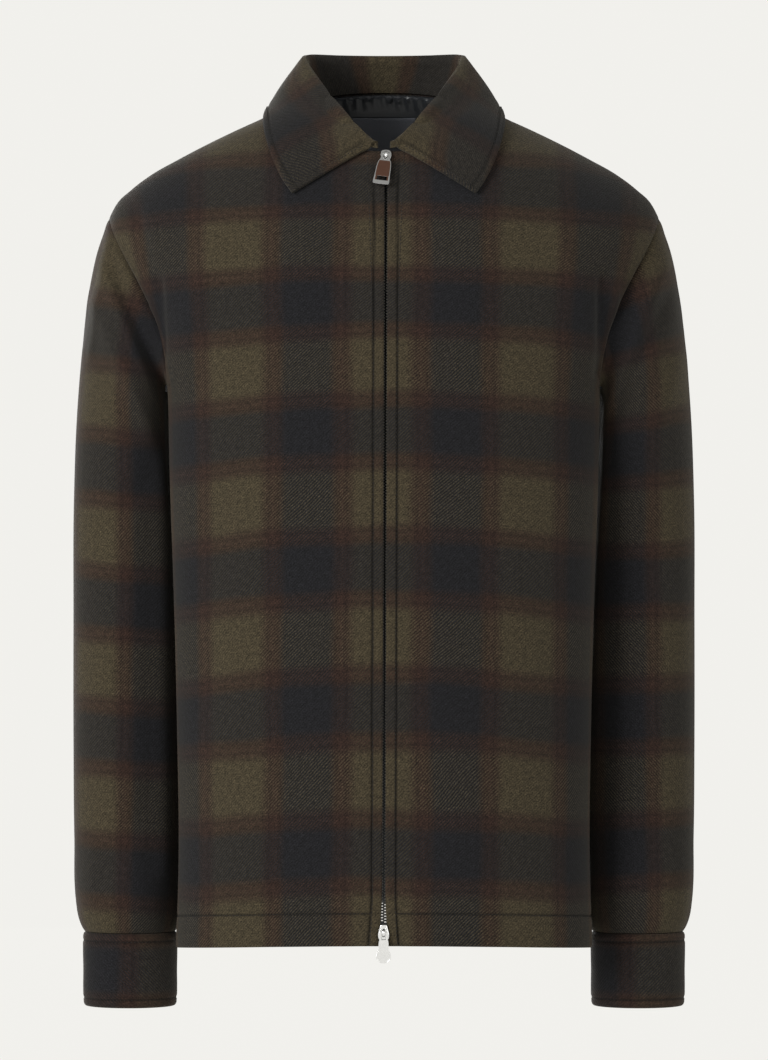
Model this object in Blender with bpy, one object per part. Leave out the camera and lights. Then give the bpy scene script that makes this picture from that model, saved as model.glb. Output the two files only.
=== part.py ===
import math

import bpy
import numpy as np
from mathutils import Vector
from mathutils.bvhtree import BVHTree

# All tables are in millimetres. X runs to the wearer's left, -Y is the front, +Z is up.
# The origin is on the centre line at the height of the neck points of the shoulder.
MM = 0.001

CLOTH_WALL = 2.0
COLLAR_WALL = 2.4
CUFF_WALL = 2.6
LINING_WALL = 1.0
LINING_INSET = 0.45
SEAM_GAP = 0.45

FRONT_COLUMNS = 16
NECK_COLUMNS = 6
BACK_NECK_COLUMNS = 4
LOWER_ROWS = 11
ARMHOLE_ROWS = 12
SLEEVE_ROWS = 19

SHOULDER_Y = 5.0
SIDE_Y = -26.0
FRONT_SQUARENESS = 2.4
BACK_SQUARENESS = 2.05
NECK_HALF_WIDTH = 76.0
FRONT_NECK_Z = -50.0
BACK_NECK_Z = 10.0
FRONT_DEPTH_FALL = 210.0
FALL_LOSS = 80.0

# Height of the shoulder line over x.
SHOULDER_X = [76, 101, 125, 151, 175, 198, 215, 228, 234]
SHOULDER_Z = [-1.5, -15, -26, -38.6, -51.2, -64.2, -77, -90, -101.5]

# Body rows from hem to underarm:
# front z, front y, half width, dip of the row at the side, back y
BODY_ROWS = [
    (-711, -126, 175.5, 8, 118),
    (-634, -129, 173.5, 11, 121),
    (-513, -132, 175.0, 15, 124),
    (-396, -134, 178.0, 15, 127),
    (-310, -135, 181.0, 13, 129),
    (-235, -136, 182.5, 11, 131),
]

# Front armhole from underarm to shoulder tip, seen from the front.
FRONT_ARMHOLE_X = [182.5, 183.2, 185.5, 190, 199, 210, 222, 229.5, 234]
FRONT_ARMHOLE_Z = [-246, -234, -216, -196, -174, -152, -130, -114, -101.5]

# Back armhole from underarm to shoulder tip, seen from the back.
BACK_ARMHOLE_X = [182.5, 181.3, 179.9, 178.3, 177.3, 180, 188, 199, 213, 226, 234]
BACK_ARMHOLE_Z = [-246, -240.5, -235, -227, -213, -194, -172, -152, -133, -117, -101.5]

# Half width of the upper back section over z.
BACK_WIDTH_Z = [-246, -240.5, -235, -227, -213, -190, -170, -145, -122, -101.5]
BACK_WIDTH = [182.5, 182.6, 184.7, 189.6, 198, 211, 219, 228, 236, 241]

# Neckline from the front edge to the neck point and from there to the centre back.
FRONT_NECK_X = [0, 20, 40, 57, 68, 76]
FRONT_NECK_DROP = [-50, -48, -40, -27, -14, -1.5]
BACK_NECK_X = [0, 20, 40, 60, 70, 76]
BACK_NECK_RISE = [10, 9.5, 7.5, 3, 0.6, -1.5]

# Sleeve rings below the armhole:
# outer x, outer z, inner x, inner z, centre y, half depth
SLEEVE_RINGS = [
    (243.5, -130, 187.5, -257, -2, 66),
    (251.5, -168, 183.0, -272, 4, 66),
    (257.0, -212, 178.0, -298, 13, 64),
    (262.0, -268, 172.5, -334, 22, 62),
    (265.0, -340, 169.0, -380, 29, 60),
    (265.6, -440, 167.5, -455, 33, 60),
    (265.6, -540, 167.5, -544, 33, 59),
    (264.6, -628, 169.0, -630, 28, 57),
    (262.6, -682, 171.5, -683, 22, 52),
    (258.6, -701, 175.0, -701, 18, 42),
    (255.6, -707.6, 177.2, -707.6, 16, 37.5),
]

# Cuff rings: z, half width, half depth
CUFF_CENTRE = (216.4, 16.0)
CUFF_RINGS = [
    (-708.0, 39.2, 37.5),
    (-713.0, 39.6, 37.9),
    (-740.0, 39.4, 37.6),
    (-766.0, 39.2, 37.4),
    (-771.0, 38.6, 36.8),
]

# Collar from the front end to the centre back:
# share of the half length, roll x y z, leaf edge x y z
COLLAR_STATIONS = [
    (0.00, 9.5, -97, -43.5, 76, -114, -86.5),
    (0.12, 19, -86, -32, 82, -104, -79),
    (0.25, 31, -70, -18.5, 88.5, -86, -66),
    (0.36, 42, -51, -4, 93.5, -64, -49),
    (0.46, 51, -33, 8, 97.5, -38, -32),
    (0.58, 63, -7, 25, 100.5, -4, -13),
    (0.70, 70, 20, 38, 99, 30, -9),
    (0.80, 64, 42, 41, 86, 66, -12),
    (0.90, 38, 58, 41, 50, 92, -19),
    (1.00, 0, 63, 40.5, 0, 100, -22),
]
COLLAR_FOLD = 3.2
LEAF_CLEAR = 3.4
COLLAR_HALF_COLUMNS = 13

# Folds seen from the front: x and z at both ends, push along the outside normal, half width
FRONT_FOLDS = {
    "left": [(184, -160, 181, -228, -3.0, 5.5), (192, -176, 190, -222, 3.0, 7.0),
             (150, -130, 176, -215, 1.8, 14.0)],
    "right": [(190, -168, 188, -214, -2.6, 5.0), (196, -190, 193, -222, 2.6, 6.5),
              (146, -140, 172, -225, 1.6, 15.0)],
}
SLEEVE_FOLDS = {
    "left": [(246, -185, 200, -268, -2.0, 12.0), (250, -235, 214, -330, 1.6, 14.0),
             (228, -610, 236, -672, -1.6, 9.0)],
    "right": [(226, -172, 184, -246, -4.5, 8.0), (238, -190, 196, -272, 2.6, 12.0),
              (246, -640, 249, -690, 1.4, 7.0)],
}

ZIP_TOP_X = 1.7
ZIP_BOTTOM_X = -0.4
FRONT_EDGE = 1.3
FRONT_EDGE_AT_HEM = 4.2
EDGE_OPENS_Z = -682.0
TAPE_INNER = 3.5
TAPE_OUTER = 14.0
TAPE_WALL = 0.8
CHAIN_HALF_WIDTH = 3.0
CHAIN_WALL = 1.8
CHAIN_TOP_Z = -62.5
CHAIN_BOTTOM_Z = -687.5

LABEL_HALF_WIDTH = 28.0
LABEL_TOP_Z = -8.0
LABEL_HEIGHT = 38.0
LABEL_WALL = 0.6
LABEL_INSET = 0.45

TOP_SLIDER_Z = -55.5
BOTTOM_SLIDER_Z = -699.5
TOP_PULL_LEAN = math.radians(8.5)

# Slider half outline: along the zip, half width
SLIDER_PLATE = [(-6.5, 3.0), (-5.0, 4.3), (-1.0, 4.6), (3.0, 3.6), (6.0, 2.9), (6.8, 2.2)]
SLIDER_PLATE_WALL = 1.9
SLIDER_STAND_OFF = 0.5
BAIL_HALF_WIDTH = 1.2
BAIL_FEET = 3.6
BAIL_RISE = 5.2
BAIL_WIRE = 1.2

# Pull tabs: distance from the pivot, half width, half width of the hole (0 where solid)
TOP_PULL_ROWS = [
    (-0.8, 2.6, 0.0), (0.8, 3.6, 1.9), (5.6, 4.0, 1.9), (7.4, 5.2, 0.0), (9.5, 5.6, 0.0),
    (21.5, 6.4, 0.0), (22.5, 6.5, 4.2), (26.5, 6.7, 4.4), (28.6, 6.8, 0.0), (30.6, 6.2, 0.0),
]
BOTTOM_PULL_ROWS = [
    (-0.8, 2.4, 0.0), (0.8, 3.2, 1.9), (5.6, 3.4, 1.9), (7.6, 4.0, 0.0), (14.0, 4.3, 0.0),
    (17.5, 5.6, 0.0), (20.5, 6.1, 0.0), (23.0, 5.6, 0.0), (25.0, 3.8, 0.0),
]
PULL_WALL = 1.5
PULL_LIFT = 1.6

# Finish of each sub-part: red, green, blue, roughness, metallic
WOOL = (0.052, 0.045, 0.036, 0.9, 0.0)
SATIN = (0.016, 0.021, 0.030, 0.42, 0.0)
LABEL = (0.006, 0.009, 0.022, 0.55, 0.0)
TAPE = (0.014, 0.013, 0.012, 0.85, 0.0)
TEETH = (0.020, 0.019, 0.018, 0.5, 0.0)
CHROME = (0.78, 0.78, 0.76, 0.16, 1.0)
PULL_METAL = (0.42, 0.33, 0.26, 0.22, 1.0)


def curve_through(knots, values, at):
    """Smooth curve through (knot, value) pairs, read at the given places."""
    knots = np.asarray(knots, float)
    values = np.asarray(values, float)
    at = np.clip(np.asarray(at, float), knots[0], knots[-1])
    slopes = np.gradient(values, knots, axis=0)
    i = np.clip(np.searchsorted(knots, at) - 1, 0, len(knots) - 2)
    step = knots[i + 1] - knots[i]
    t = (at - knots[i]) / step
    if values.ndim > 1:
        extra = (1,) * (values.ndim - 1)
        t = t.reshape(t.shape + extra)
        step = step.reshape(step.shape + extra)
    return (
        (2 * t**3 - 3 * t**2 + 1) * values[i]
        + (t**3 - 2 * t**2 + t) * step * slopes[i]
        + (3 * t**2 - 2 * t**3) * values[i + 1]
        + (t**3 - t**2) * step * slopes[i + 1]
    )


def even_along(points, shares):
    """Points at the given shares of a polyline's length."""
    steps = np.linalg.norm(np.diff(points, axis=0), axis=1)
    run = np.concatenate([[0.0], np.cumsum(steps)])
    run /= run[-1]
    return np.stack([np.interp(shares, run, points[:, k]) for k in range(points.shape[1])], 1)


def shoulder_height(x):
    """Height of the shoulder line, carried on over the neck hole for the front."""
    x = np.abs(x)
    outer = curve_through(SHOULDER_X, SHOULDER_Z, x)
    return np.where(x < NECK_HALF_WIDTH, SHOULDER_Z[0] + 0.15 * (NECK_HALF_WIDTH - x), outer)


def back_shoulder_height(x):
    """Height of the shoulder line, carried on over the neck hole for the back."""
    x = np.abs(x)
    outer = curve_through(SHOULDER_X, SHOULDER_Z, x)
    over = SHOULDER_Z[0] + 39.0 * (1.0 - (x / NECK_HALF_WIDTH) ** 2)
    return np.where(x < NECK_HALF_WIDTH, over, outer)


def body_row(z, column):
    """One column of the body table at the row that passes z at the centre front."""
    rows = np.array(BODY_ROWS, float)
    return curve_through(rows[:, 0], rows[:, column], np.minimum(z, rows[-1, 0]))


def front_width(z):
    """Half width of the upper front section: the armhole's x, a little wider than the cut."""
    x = curve_through(FRONT_ARMHOLE_Z, FRONT_ARMHOLE_X, z)
    cut = np.clip(0.0009 * (z - FRONT_ARMHOLE_Z[0]), 0.0, 0.03)
    return x / (1.0 - cut)


def back_width(z):
    return curve_through(BACK_WIDTH_Z, BACK_WIDTH, z)


def section_y(x, half_width, middle_y, squareness):
    """Superellipse section: y = side + (middle - side) * (1 - (x/w)^n)^(1/n)."""
    share = np.clip(np.abs(x) / half_width, 0.0, 1.0) ** squareness
    return SIDE_Y + (middle_y - SIDE_Y) * (1.0 - share) ** (1.0 / squareness)


def fall(drop, x):
    """Share of the full depth reached a given drop below the shoulder line."""
    length = FRONT_DEPTH_FALL - FALL_LOSS * np.clip(np.abs(x) / 230.0, 0.0, 1.0)
    left = 1.0 - np.clip(drop / length, 0.0, 1.0)
    return np.sqrt(np.maximum(1.0 - left**2, 0.0))


def front_y(x, z):
    """Depth of the upper front over x and z."""
    full = section_y(x, front_width(z), BODY_ROWS[-1][1], FRONT_SQUARENESS)
    return SHOULDER_Y + (full - SHOULDER_Y) * fall(shoulder_height(x) - z, x)


def back_y(x, z):
    """Depth of the upper back over x and z."""
    full = section_y(x, back_width(z), BODY_ROWS[-1][4], BACK_SQUARENESS)
    return SHOULDER_Y + (full - SHOULDER_Y) * fall(back_shoulder_height(x) - z, x)


def lower_row(z, shares, front):
    """One row below the underarm from the centre to the side seam."""
    middle_y = body_row(z, 1) if front else body_row(z, 4)
    power = 2.0 / (FRONT_SQUARENESS if front else BACK_SQUARENESS)
    t = np.linspace(0.0, math.pi / 2, 241)
    x = body_row(z, 2) * np.sin(t) ** power
    y = SIDE_Y + (middle_y - SIDE_Y) * np.cos(t) ** power
    flat = even_along(np.stack([x, y], 1), shares)
    height = z - body_row(z, 3) * shares**2
    return np.column_stack([flat, height])


def front_armhole(shares):
    dense_z = np.linspace(FRONT_ARMHOLE_Z[0], FRONT_ARMHOLE_Z[-1], 400)
    x = curve_through(FRONT_ARMHOLE_Z, FRONT_ARMHOLE_X, dense_z)
    return even_along(np.column_stack([x, front_y(x, dense_z), dense_z]), shares)


def back_armhole(shares):
    knots = np.arange(len(BACK_ARMHOLE_X))
    dense = np.linspace(0, knots[-1], 400)
    x = curve_through(knots, BACK_ARMHOLE_X, dense)
    z = curve_through(knots, BACK_ARMHOLE_Z, dense)
    return even_along(np.column_stack([x, back_y(x, z), z]), shares)


def top_edge(front, shares, neck_share):
    """Neckline up to neck_share, then the shoulder seam, as x and z."""
    knots_x = FRONT_NECK_X if front else BACK_NECK_X
    knots_z = FRONT_NECK_DROP if front else BACK_NECK_RISE
    neck_x = np.linspace(0, NECK_HALF_WIDTH, 120)
    neck_z = curve_through(knots_x, knots_z, neck_x)
    depth = front_y if front else back_y
    neck = np.column_stack([neck_x, neck_z, depth(neck_x, neck_z)])
    line_x = np.linspace(SHOULDER_X[0], SHOULDER_X[-1], 120)
    line = np.column_stack([line_x, curve_through(SHOULDER_X, SHOULDER_Z, line_x)])
    in_neck = np.clip(shares / neck_share, 0.0, 1.0)
    in_line = np.clip((shares - neck_share) / (1.0 - neck_share), 0.0, 1.0)
    on_neck = even_along(neck, in_neck)[:, :2]
    on_line = even_along(line, in_line)
    return np.where((shares <= neck_share)[:, None], on_neck, on_line)


def upper_rows(shares, rises, front, neck_share):
    """Rows from the underarm to the neckline and shoulder, blended between the four edges."""
    depth = front_y if front else back_y
    bottom = lower_row(float(BODY_ROWS[-1][0]), shares, front)
    top = top_edge(front, shares, neck_share)
    armhole = (front_armhole if front else back_armhole)(rises)
    blend = 1.0 - (1.0 - rises) ** 1.7
    s = shares[None, :, None]
    g = blend[:, None, None]
    low = bottom[None, :, [0, 2]]
    high = top[None, :, :]
    side = armhole[:, [0, 2]][:, None, :]
    straight = (1 - g) * bottom[-1, [0, 2]] + g * top[-1]
    flat = (1 - g) * low + g * high + s * (side - straight)
    x = flat[..., 0]
    z = flat[..., 1]
    y = depth(x, z)
    y[0] = bottom[:, 1]
    y[:, -1] = armhole[:, 1]
    y[-1, shares >= neck_share - 1e-6] = SHOULDER_Y
    return np.stack([x, y, z], 2)


def half_body(shares, lower, upper, front, neck_share):
    """Half a body panel on the +X side: rows from hem to underarm, then up to the top."""
    heights = BODY_ROWS[0][0] + (BODY_ROWS[-1][0] - BODY_ROWS[0][0]) * lower
    below = np.stack([lower_row(z, shares, front) for z in heights])
    above = upper_rows(shares, upper, front, neck_share)
    return np.concatenate([below[:-1], above])


def zip_x(z):
    return np.interp(z, [-711.0, FRONT_NECK_Z], [ZIP_BOTTOM_X, ZIP_TOP_X])


def open_front_edge(grid, shares, sign):
    """Moves the front edge off the zip line, wider near the hem."""
    z = grid[..., 2]
    opened = np.clip((EDGE_OPENS_Z - z) / (EDGE_OPENS_Z + 711.0), 0.0, 1.0)
    edge = FRONT_EDGE + (FRONT_EDGE_AT_HEM - FRONT_EDGE) * opened**1.5
    near = np.clip(1.0 - shares[None, :] / (NECK_COLUMNS / FRONT_COLUMNS), 0.0, 1.0)
    grid[..., 0] += (edge + sign * zip_x(z)) * near**2
    return grid


def fold_push(grid, folds, facing):
    """Sum of soft ridges: each exp(-(distance/width)^2) about its own line, faded at the ends."""
    push = np.zeros(grid.shape[:2])
    for x0, z0, x1, z1, size, width in folds:
        line = np.array([x1 - x0, z1 - z0], float)
        length = np.linalg.norm(line)
        line /= length
        dx = np.abs(grid[..., 0]) - x0
        dz = grid[..., 2] - z0
        along = (dx * line[0] + dz * line[1]) / length
        across = dx * line[1] - dz * line[0]
        beyond = np.maximum(np.abs(along - 0.5) - 0.5, 0.0) * length
        push += size * np.exp(-((across / width) ** 2) - (beyond / (1.6 * width)) ** 2)
    return push * facing


def grid_normals(grid, closed):
    """Unit normals of a grid, from the neighbours along both directions."""
    if closed:
        along = np.roll(grid, -1, axis=1) - np.roll(grid, 1, axis=1)
    else:
        along = np.gradient(grid, axis=1)
    normal = np.cross(along, np.gradient(grid, axis=0))
    return normal / np.maximum(np.linalg.norm(normal, axis=2, keepdims=True), 1e-9)


def torso_x(y, z):
    """Half width of the torso at a depth behind or before the side line."""
    row_z = np.clip(z + 8.0, BODY_ROWS[0][0], BODY_ROWS[-1][0])
    width = body_row(row_z, 2)
    width = np.where(np.logical_and(z > -246.0, y > SIDE_Y), back_width(z), width)
    back = np.clip((y - SIDE_Y) / (body_row(row_z, 4) - SIDE_Y), 0.0, 1.0)
    front = np.clip((SIDE_Y - y) / (SIDE_Y - body_row(row_z, 1)), 0.0, 1.0)
    behind = (1 - back**BACK_SQUARENESS) ** (1 / BACK_SQUARENESS)
    before = (1 - front**FRONT_SQUARENESS) ** (1 / FRONT_SQUARENESS)
    return width * behind * before


def sleeve_grid(rows, around):
    """Sleeve on the +X side: armhole ring blended into the rings of the table."""
    half = around // 2
    front = front_armhole(np.linspace(1.0, 0.0, half + 1))
    back = back_armhole(np.linspace(0.0, 1.0, half + 1))
    first = np.concatenate([front, back[1:-1]])
    turn = np.linspace(0.0, 2 * math.pi, around, endpoint=False)
    rings = [first]
    for outer_x, outer_z, inner_x, inner_z, centre_y, half_depth in SLEEVE_RINGS:
        share = 0.5 + 0.5 * np.cos(turn)
        x = inner_x + (outer_x - inner_x) * share
        y = centre_y - half_depth * np.sin(turn)
        z = inner_z + (outer_z - inner_z) * share
        rings.append(np.column_stack([x, y, z]))
    rings = np.stack(rings)
    steps = np.linalg.norm(np.diff(rings.mean(axis=1), axis=0), axis=1)
    run = np.concatenate([[0.0], np.cumsum(steps)])
    grid = curve_through(run, rings, run[-1] * rows)
    keep_off = 3.2 * np.clip(rows * 12.0, 0.0, 1.0)[:, None]
    y = grid[..., 1]
    z = grid[..., 2]
    limit = torso_x(y, z) + keep_off
    low_back = back[: half // 2 + 1]
    low_front = front[::-1][: half // 2 + 1]
    edge = np.concatenate([low_front[::-1], low_back[1:]])
    inside = z < np.interp(y, edge[:, 1], edge[:, 2]) - 0.5
    excess = np.where(inside, limit - grid[..., 0], -1e3)
    grid[..., 0] += np.where(excess > -4.0, np.log1p(np.exp(np.clip(excess, -30, 60))), 0.0)
    return grid


def neck_ring(half_columns):
    """Neckline from the centre front to the centre back on the +X side."""
    front_x = np.linspace(0, NECK_HALF_WIDTH, 160)
    front_z = curve_through(FRONT_NECK_X, FRONT_NECK_DROP, front_x)
    front = np.column_stack([front_x, front_y(front_x, front_z), front_z])
    back_x = np.linspace(NECK_HALF_WIDTH, 0, 160)
    back_z = curve_through(BACK_NECK_X, BACK_NECK_RISE, back_x)
    back = np.column_stack([back_x, back_y(back_x, back_z), back_z])
    whole = np.concatenate([front, back[1:]])
    whole = whole[whole[:, 0] > 4.0] if half_columns is None else whole
    return whole


def body_height(x, y):
    """Height of the shoulder and chest over x and y, solved from the depth formula."""
    in_front = y < SHOULDER_Y
    width = 241.0
    full_front = section_y(x, width, BODY_ROWS[-1][1], FRONT_SQUARENESS)
    full_back = section_y(x, width, BODY_ROWS[-1][4], BACK_SQUARENESS)
    full = np.where(in_front, full_front, full_back)
    share = np.clip((y - SHOULDER_Y) / (full - SHOULDER_Y), 0.0, 0.995)
    length = FRONT_DEPTH_FALL - FALL_LOSS * np.clip(np.abs(x) / 230.0, 0.0, 1.0)
    line = np.where(in_front, shoulder_height(x), back_shoulder_height(x))
    return line - length * (1.0 - np.sqrt(1.0 - share**2))


def stand_off(points, clearance):
    """Moves points out along the body's normal until they clear it."""
    for _ in range(4):
        x = points[..., 0]
        y = points[..., 1]
        here = body_height(x, y)
        slope_x = (body_height(x + 0.5, y) - body_height(x - 0.5, y)) / 1.0
        slope_y = (body_height(x, y + 0.5) - body_height(x, y - 0.5)) / 1.0
        size = np.sqrt(1.0 + slope_x**2 + slope_y**2)
        gap = (points[..., 2] - here) / size
        push = np.maximum(clearance - gap, 0.0)
        normal = np.stack([-slope_x, -slope_y, np.ones_like(slope_x)], -1) / size[..., None]
        points = points + normal * push[..., None]
    return points


def unit(vectors):
    return vectors / np.maximum(np.linalg.norm(vectors, axis=-1, keepdims=True), 1e-9)


def collar_half(shares, leaf_steps):
    """Collar sheet from the front end to the centre back: neck seam, stand, roll, leaf."""
    table = np.array(COLLAR_STATIONS, float)
    roll = curve_through(table[:, 0], table[:, 1:4], shares)
    edge = curve_through(table[:, 0], table[:, 4:7], shares)
    neck = neck_ring(0)
    start = 4.5 / 230.0
    base = even_along(neck, start + (1 - start) * shares)
    tangent = unit(np.gradient(roll, axis=0))
    down = base - roll
    down = unit(down - (down * tangent).sum(1, keepdims=True) * tangent)
    out = edge - roll
    out = unit(out - (out * tangent).sum(1, keepdims=True) * tangent)
    side = unit(out - (out * down).sum(1, keepdims=True) * down)
    fold_in = roll - side * COLLAR_FOLD * 0.9 + down * COLLAR_FOLD
    fold_out = roll + side * COLLAR_FOLD * 0.9 + down * COLLAR_FOLD * 0.8
    inward = np.array([0.0, -12.0, 0.0]) - base
    inward[:, 2] = 0.0
    base = base + unit(inward) * (COLLAR_WALL / 2 + 0.1) + [0, 0, 0.6]
    near_front = np.clip(1.0 - shares / 0.3, 0.0, 1.0)
    base = stand_off(base, 1.9 * near_front - 50.0 * (near_front <= 0.0))
    rows = [base]
    for k in (0.4, 0.75):
        bulge = side * 1.2 * math.sin(math.pi * k) * (1.0 - near_front[:, None])
        row = base + (fold_in - base) * k + bulge
        rows.append(stand_off(row, 1.9 * near_front - 50.0 * (near_front <= 0.0)))
    fold_out = stand_off(fold_out, 3.0)
    rows += [fold_in, roll, fold_out]
    for k in leaf_steps:
        bulge = side * 3.0 * math.sin(math.pi * k)
        rows.append(stand_off(fold_out + (edge - fold_out) * k + bulge, LEAF_CLEAR))
    return np.stack(rows)


def mirrored(grid):
    """The same half on the other side, columns running back the other way."""
    other = grid[:, ::-1].copy()
    other[..., 0] *= -1
    return other


def shared_normals(grids):
    """Vertex normals with the seams' points welded, and how far a mitre must reach there."""
    points = []
    corners = []
    group = []
    base = 0
    for name, (grid, closed) in grids.items():
        rows, columns = grid.shape[:2]
        index = base + np.arange(rows * columns).reshape(rows, columns)
        if closed:
            index = np.column_stack([index, index[:, 0]])
        quads = np.stack([index[:-1, :-1], index[:-1, 1:], index[1:, 1:], index[1:, :-1]], -1)
        corners.append(quads.reshape(-1, 4))
        group.append(np.full(quads.size // 4, int(name.startswith("sleeve"))))
        points.append(grid.reshape(-1, 3))
        base += rows * columns
    points = np.concatenate(points)
    corners = np.concatenate(corners)
    weld = np.unique(np.round(points, 3), axis=0, return_inverse=True)[1].ravel()
    group = np.concatenate(group)
    a, b, c, d = (points[corners[:, k]] for k in range(4))
    face_unit = unit(np.cross(c - a, d - b))
    totals = np.zeros((2, weld.max() + 1, 3))
    for k in range(4):
        np.add.at(totals, (group, weld[corners[:, k]]), face_unit)
    totals = unit(totals)
    normal = unit(totals.sum(axis=0))
    cosine = np.where(np.abs(totals).sum(axis=2) > 0, (totals * normal).sum(axis=2), 1.0)
    reach = 1.0 / np.clip(cosine.min(axis=0), 0.5, 1.0)
    found = {}
    base = 0
    for name, (grid, _) in grids.items():
        rows, columns = grid.shape[:2]
        piece = weld[base : base + rows * columns].reshape(rows, columns)
        found[name] = (normal[piece], reach[piece])
        base += rows * columns
    return found


def seam_shift(outer, inner, normals, edge):
    """Moves one edge of both walls half a seam gap off the seam, across the mitre."""
    if edge == "top":
        here, near = (-1, slice(None)), (-2, slice(None))
    elif edge == "bottom":
        here, near = (0, slice(None)), (1, slice(None))
    elif edge == "first":
        here, near = (slice(None), 0), (slice(None), 1)
    else:
        here, near = (slice(None), -1), (slice(None), -2)
    tangent = unit(np.gradient(outer[here], axis=0))
    own = unit(outer[near] - outer[here])
    side = unit(np.cross(normals[here], tangent))
    own_normal = unit(outer[near] - inner[near])
    lean = (side * (own - own_normal)).sum(1, keepdims=True)
    side = side * np.where(lean < 0, -1.0, 1.0)
    outer[here] += side * SEAM_GAP / 2
    inner[here] += side * SEAM_GAP / 2


def faces_of(rows, columns, closed):
    """Quads of a two-walled sheet or tube: outer wall, inner wall and the rims."""
    count = rows * columns
    outer = np.arange(count).reshape(rows, columns)
    if closed:
        outer = np.column_stack([outer, outer[:, 0]])
    inner = outer + count
    quads = []

    def add(a, b, c, d):
        quads.append(np.stack([a, b, c, d], -1).reshape(-1, 4))

    add(outer[:-1, :-1], outer[:-1, 1:], outer[1:, 1:], outer[1:, :-1])
    add(inner[:-1, :-1], inner[1:, :-1], inner[1:, 1:], inner[:-1, 1:])
    add(outer[0, 1:], outer[0, :-1], inner[0, :-1], inner[0, 1:])
    add(outer[-1, :-1], outer[-1, 1:], inner[-1, 1:], inner[-1, :-1])
    if not closed:
        add(outer[:-1, 0], outer[1:, 0], inner[1:, 0], inner[:-1, 0])
        add(outer[1:, -1], outer[:-1, -1], inner[:-1, -1], inner[1:, -1])
    return np.concatenate(quads)


def finish_material(name, finish):
    material = bpy.data.materials.new(name)
    material.use_nodes = True
    shader = material.node_tree.nodes["Principled BSDF"]
    shader.inputs["Base Color"].default_value = (*finish[:3], 1.0)
    shader.inputs["Roughness"].default_value = finish[3]
    shader.inputs["Metallic"].default_value = finish[4]
    return material


def add_object(name, points, faces, finish, origin=(0.0, 0.0, 0.0)):
    """Adds one closed body with its faces turned out, its origin at the given point."""
    points = np.asarray(points, float) - np.asarray(origin, float)
    faces = [list(map(int, face)) for face in faces]
    volume = 0.0
    for face in faces:
        for k in range(1, len(face) - 1):
            a, b, c = points[face[0]], points[face[k]], points[face[k + 1]]
            volume += float(np.dot(a, np.cross(b, c)))
    if volume < 0:
        faces = [face[::-1] for face in faces]
    mesh = bpy.data.meshes.new(name)
    mesh.from_pydata((points * MM).tolist(), [], faces)
    mesh.update()
    mesh.materials.append(finish_material(name + "_finish", finish))
    body = bpy.data.objects.new(name, mesh)
    body.location = [value * MM for value in origin]
    bpy.context.scene.collection.objects.link(body)
    return body


def add_walls(name, outer, inner, closed, finish):
    rows, columns = outer.shape[:2]
    points = np.concatenate([outer.reshape(-1, 3), inner.reshape(-1, 3)])
    return add_object(name, points, faces_of(rows, columns, closed), finish)


def add_prism(name, points_2d, quads, low, high, place, finish, extra=None):
    """Extrudes a flat set of quads from low to high and sets it in place(u, v, w)."""
    points_2d = np.asarray(points_2d, float)
    count = len(points_2d)
    edges = {}
    for quad in quads:
        for a, b in zip(quad, quad[1:] + quad[:1]):
            edges[(a, b)] = True
    faces = [list(quad) for quad in quads]
    faces += [[k + count for k in reversed(quad)] for quad in quads]
    for a, b in edges:
        if (b, a) not in edges:
            faces.append([b, a, a + count, b + count])
    flat = [place(u, v, low) for u, v in points_2d] + [place(u, v, high) for u, v in points_2d]
    return np.array(flat), faces


def cloth_panels():
    """Outer surfaces of the fronts, the back and the sleeves, with the seams' points shared."""
    front_shares = np.linspace(0.0, 1.0, FRONT_COLUMNS + 1)
    neck_share = NECK_COLUMNS / FRONT_COLUMNS
    back_columns = BACK_NECK_COLUMNS + FRONT_COLUMNS - NECK_COLUMNS
    back_shares = np.linspace(0.0, 1.0, back_columns + 1)
    back_neck_share = BACK_NECK_COLUMNS / back_columns
    lower = np.linspace(0.0, 1.0, LOWER_ROWS + 1)
    upper = np.linspace(0.0, 1.0, ARMHOLE_ROWS + 1)
    front = half_body(front_shares, lower, upper, True, neck_share)
    back = half_body(back_shares, lower, upper, False, back_neck_share)
    left = open_front_edge(front.copy(), front_shares, 1)
    right = open_front_edge(front.copy(), front_shares, -1)
    for grid, side in ((left, "left"), (right, "right")):
        normals = grid_normals(grid, False)
        push = fold_push(grid, FRONT_FOLDS[side], 1.0)
        push[:, -1] = 0.0
        push[-1] = 0.0
        grid += normals * push[..., None] * np.sign(normals[..., 1:2] * -1.0)
    sleeve = sleeve_grid(np.linspace(0.0, 1.0, SLEEVE_ROWS + 1), 2 * ARMHOLE_ROWS)
    sleeves = {}
    for side in ("left", "right"):
        grid = sleeve.copy()
        normals = grid_normals(grid, True)
        facing = np.clip(-normals[..., 1], 0.0, 1.0) ** 0.5
        fade = np.clip(np.arange(len(grid)) / 2.0, 0.0, 1.0)[:, None]
        push = fold_push(grid, SLEEVE_FOLDS[side], facing) * fade
        outward = unit(grid - grid.mean(axis=1, keepdims=True))
        grid += outward * push[..., None]
        sleeves[side] = grid
    whole_back = np.concatenate([back[:, :0:-1] * [-1, 1, 1], back], axis=1)
    # Columns run the same way round as the outside is seen, so every normal points out.
    return {
        "front_left": (left, False),
        "front_right": (mirrored(right), False),
        "back": (whole_back[:, ::-1], False),
        "sleeve_left": (sleeves["left"], True),
        "sleeve_right": (sleeves["right"][:, ::-1] * [-1, 1, 1], True),
    }


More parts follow.
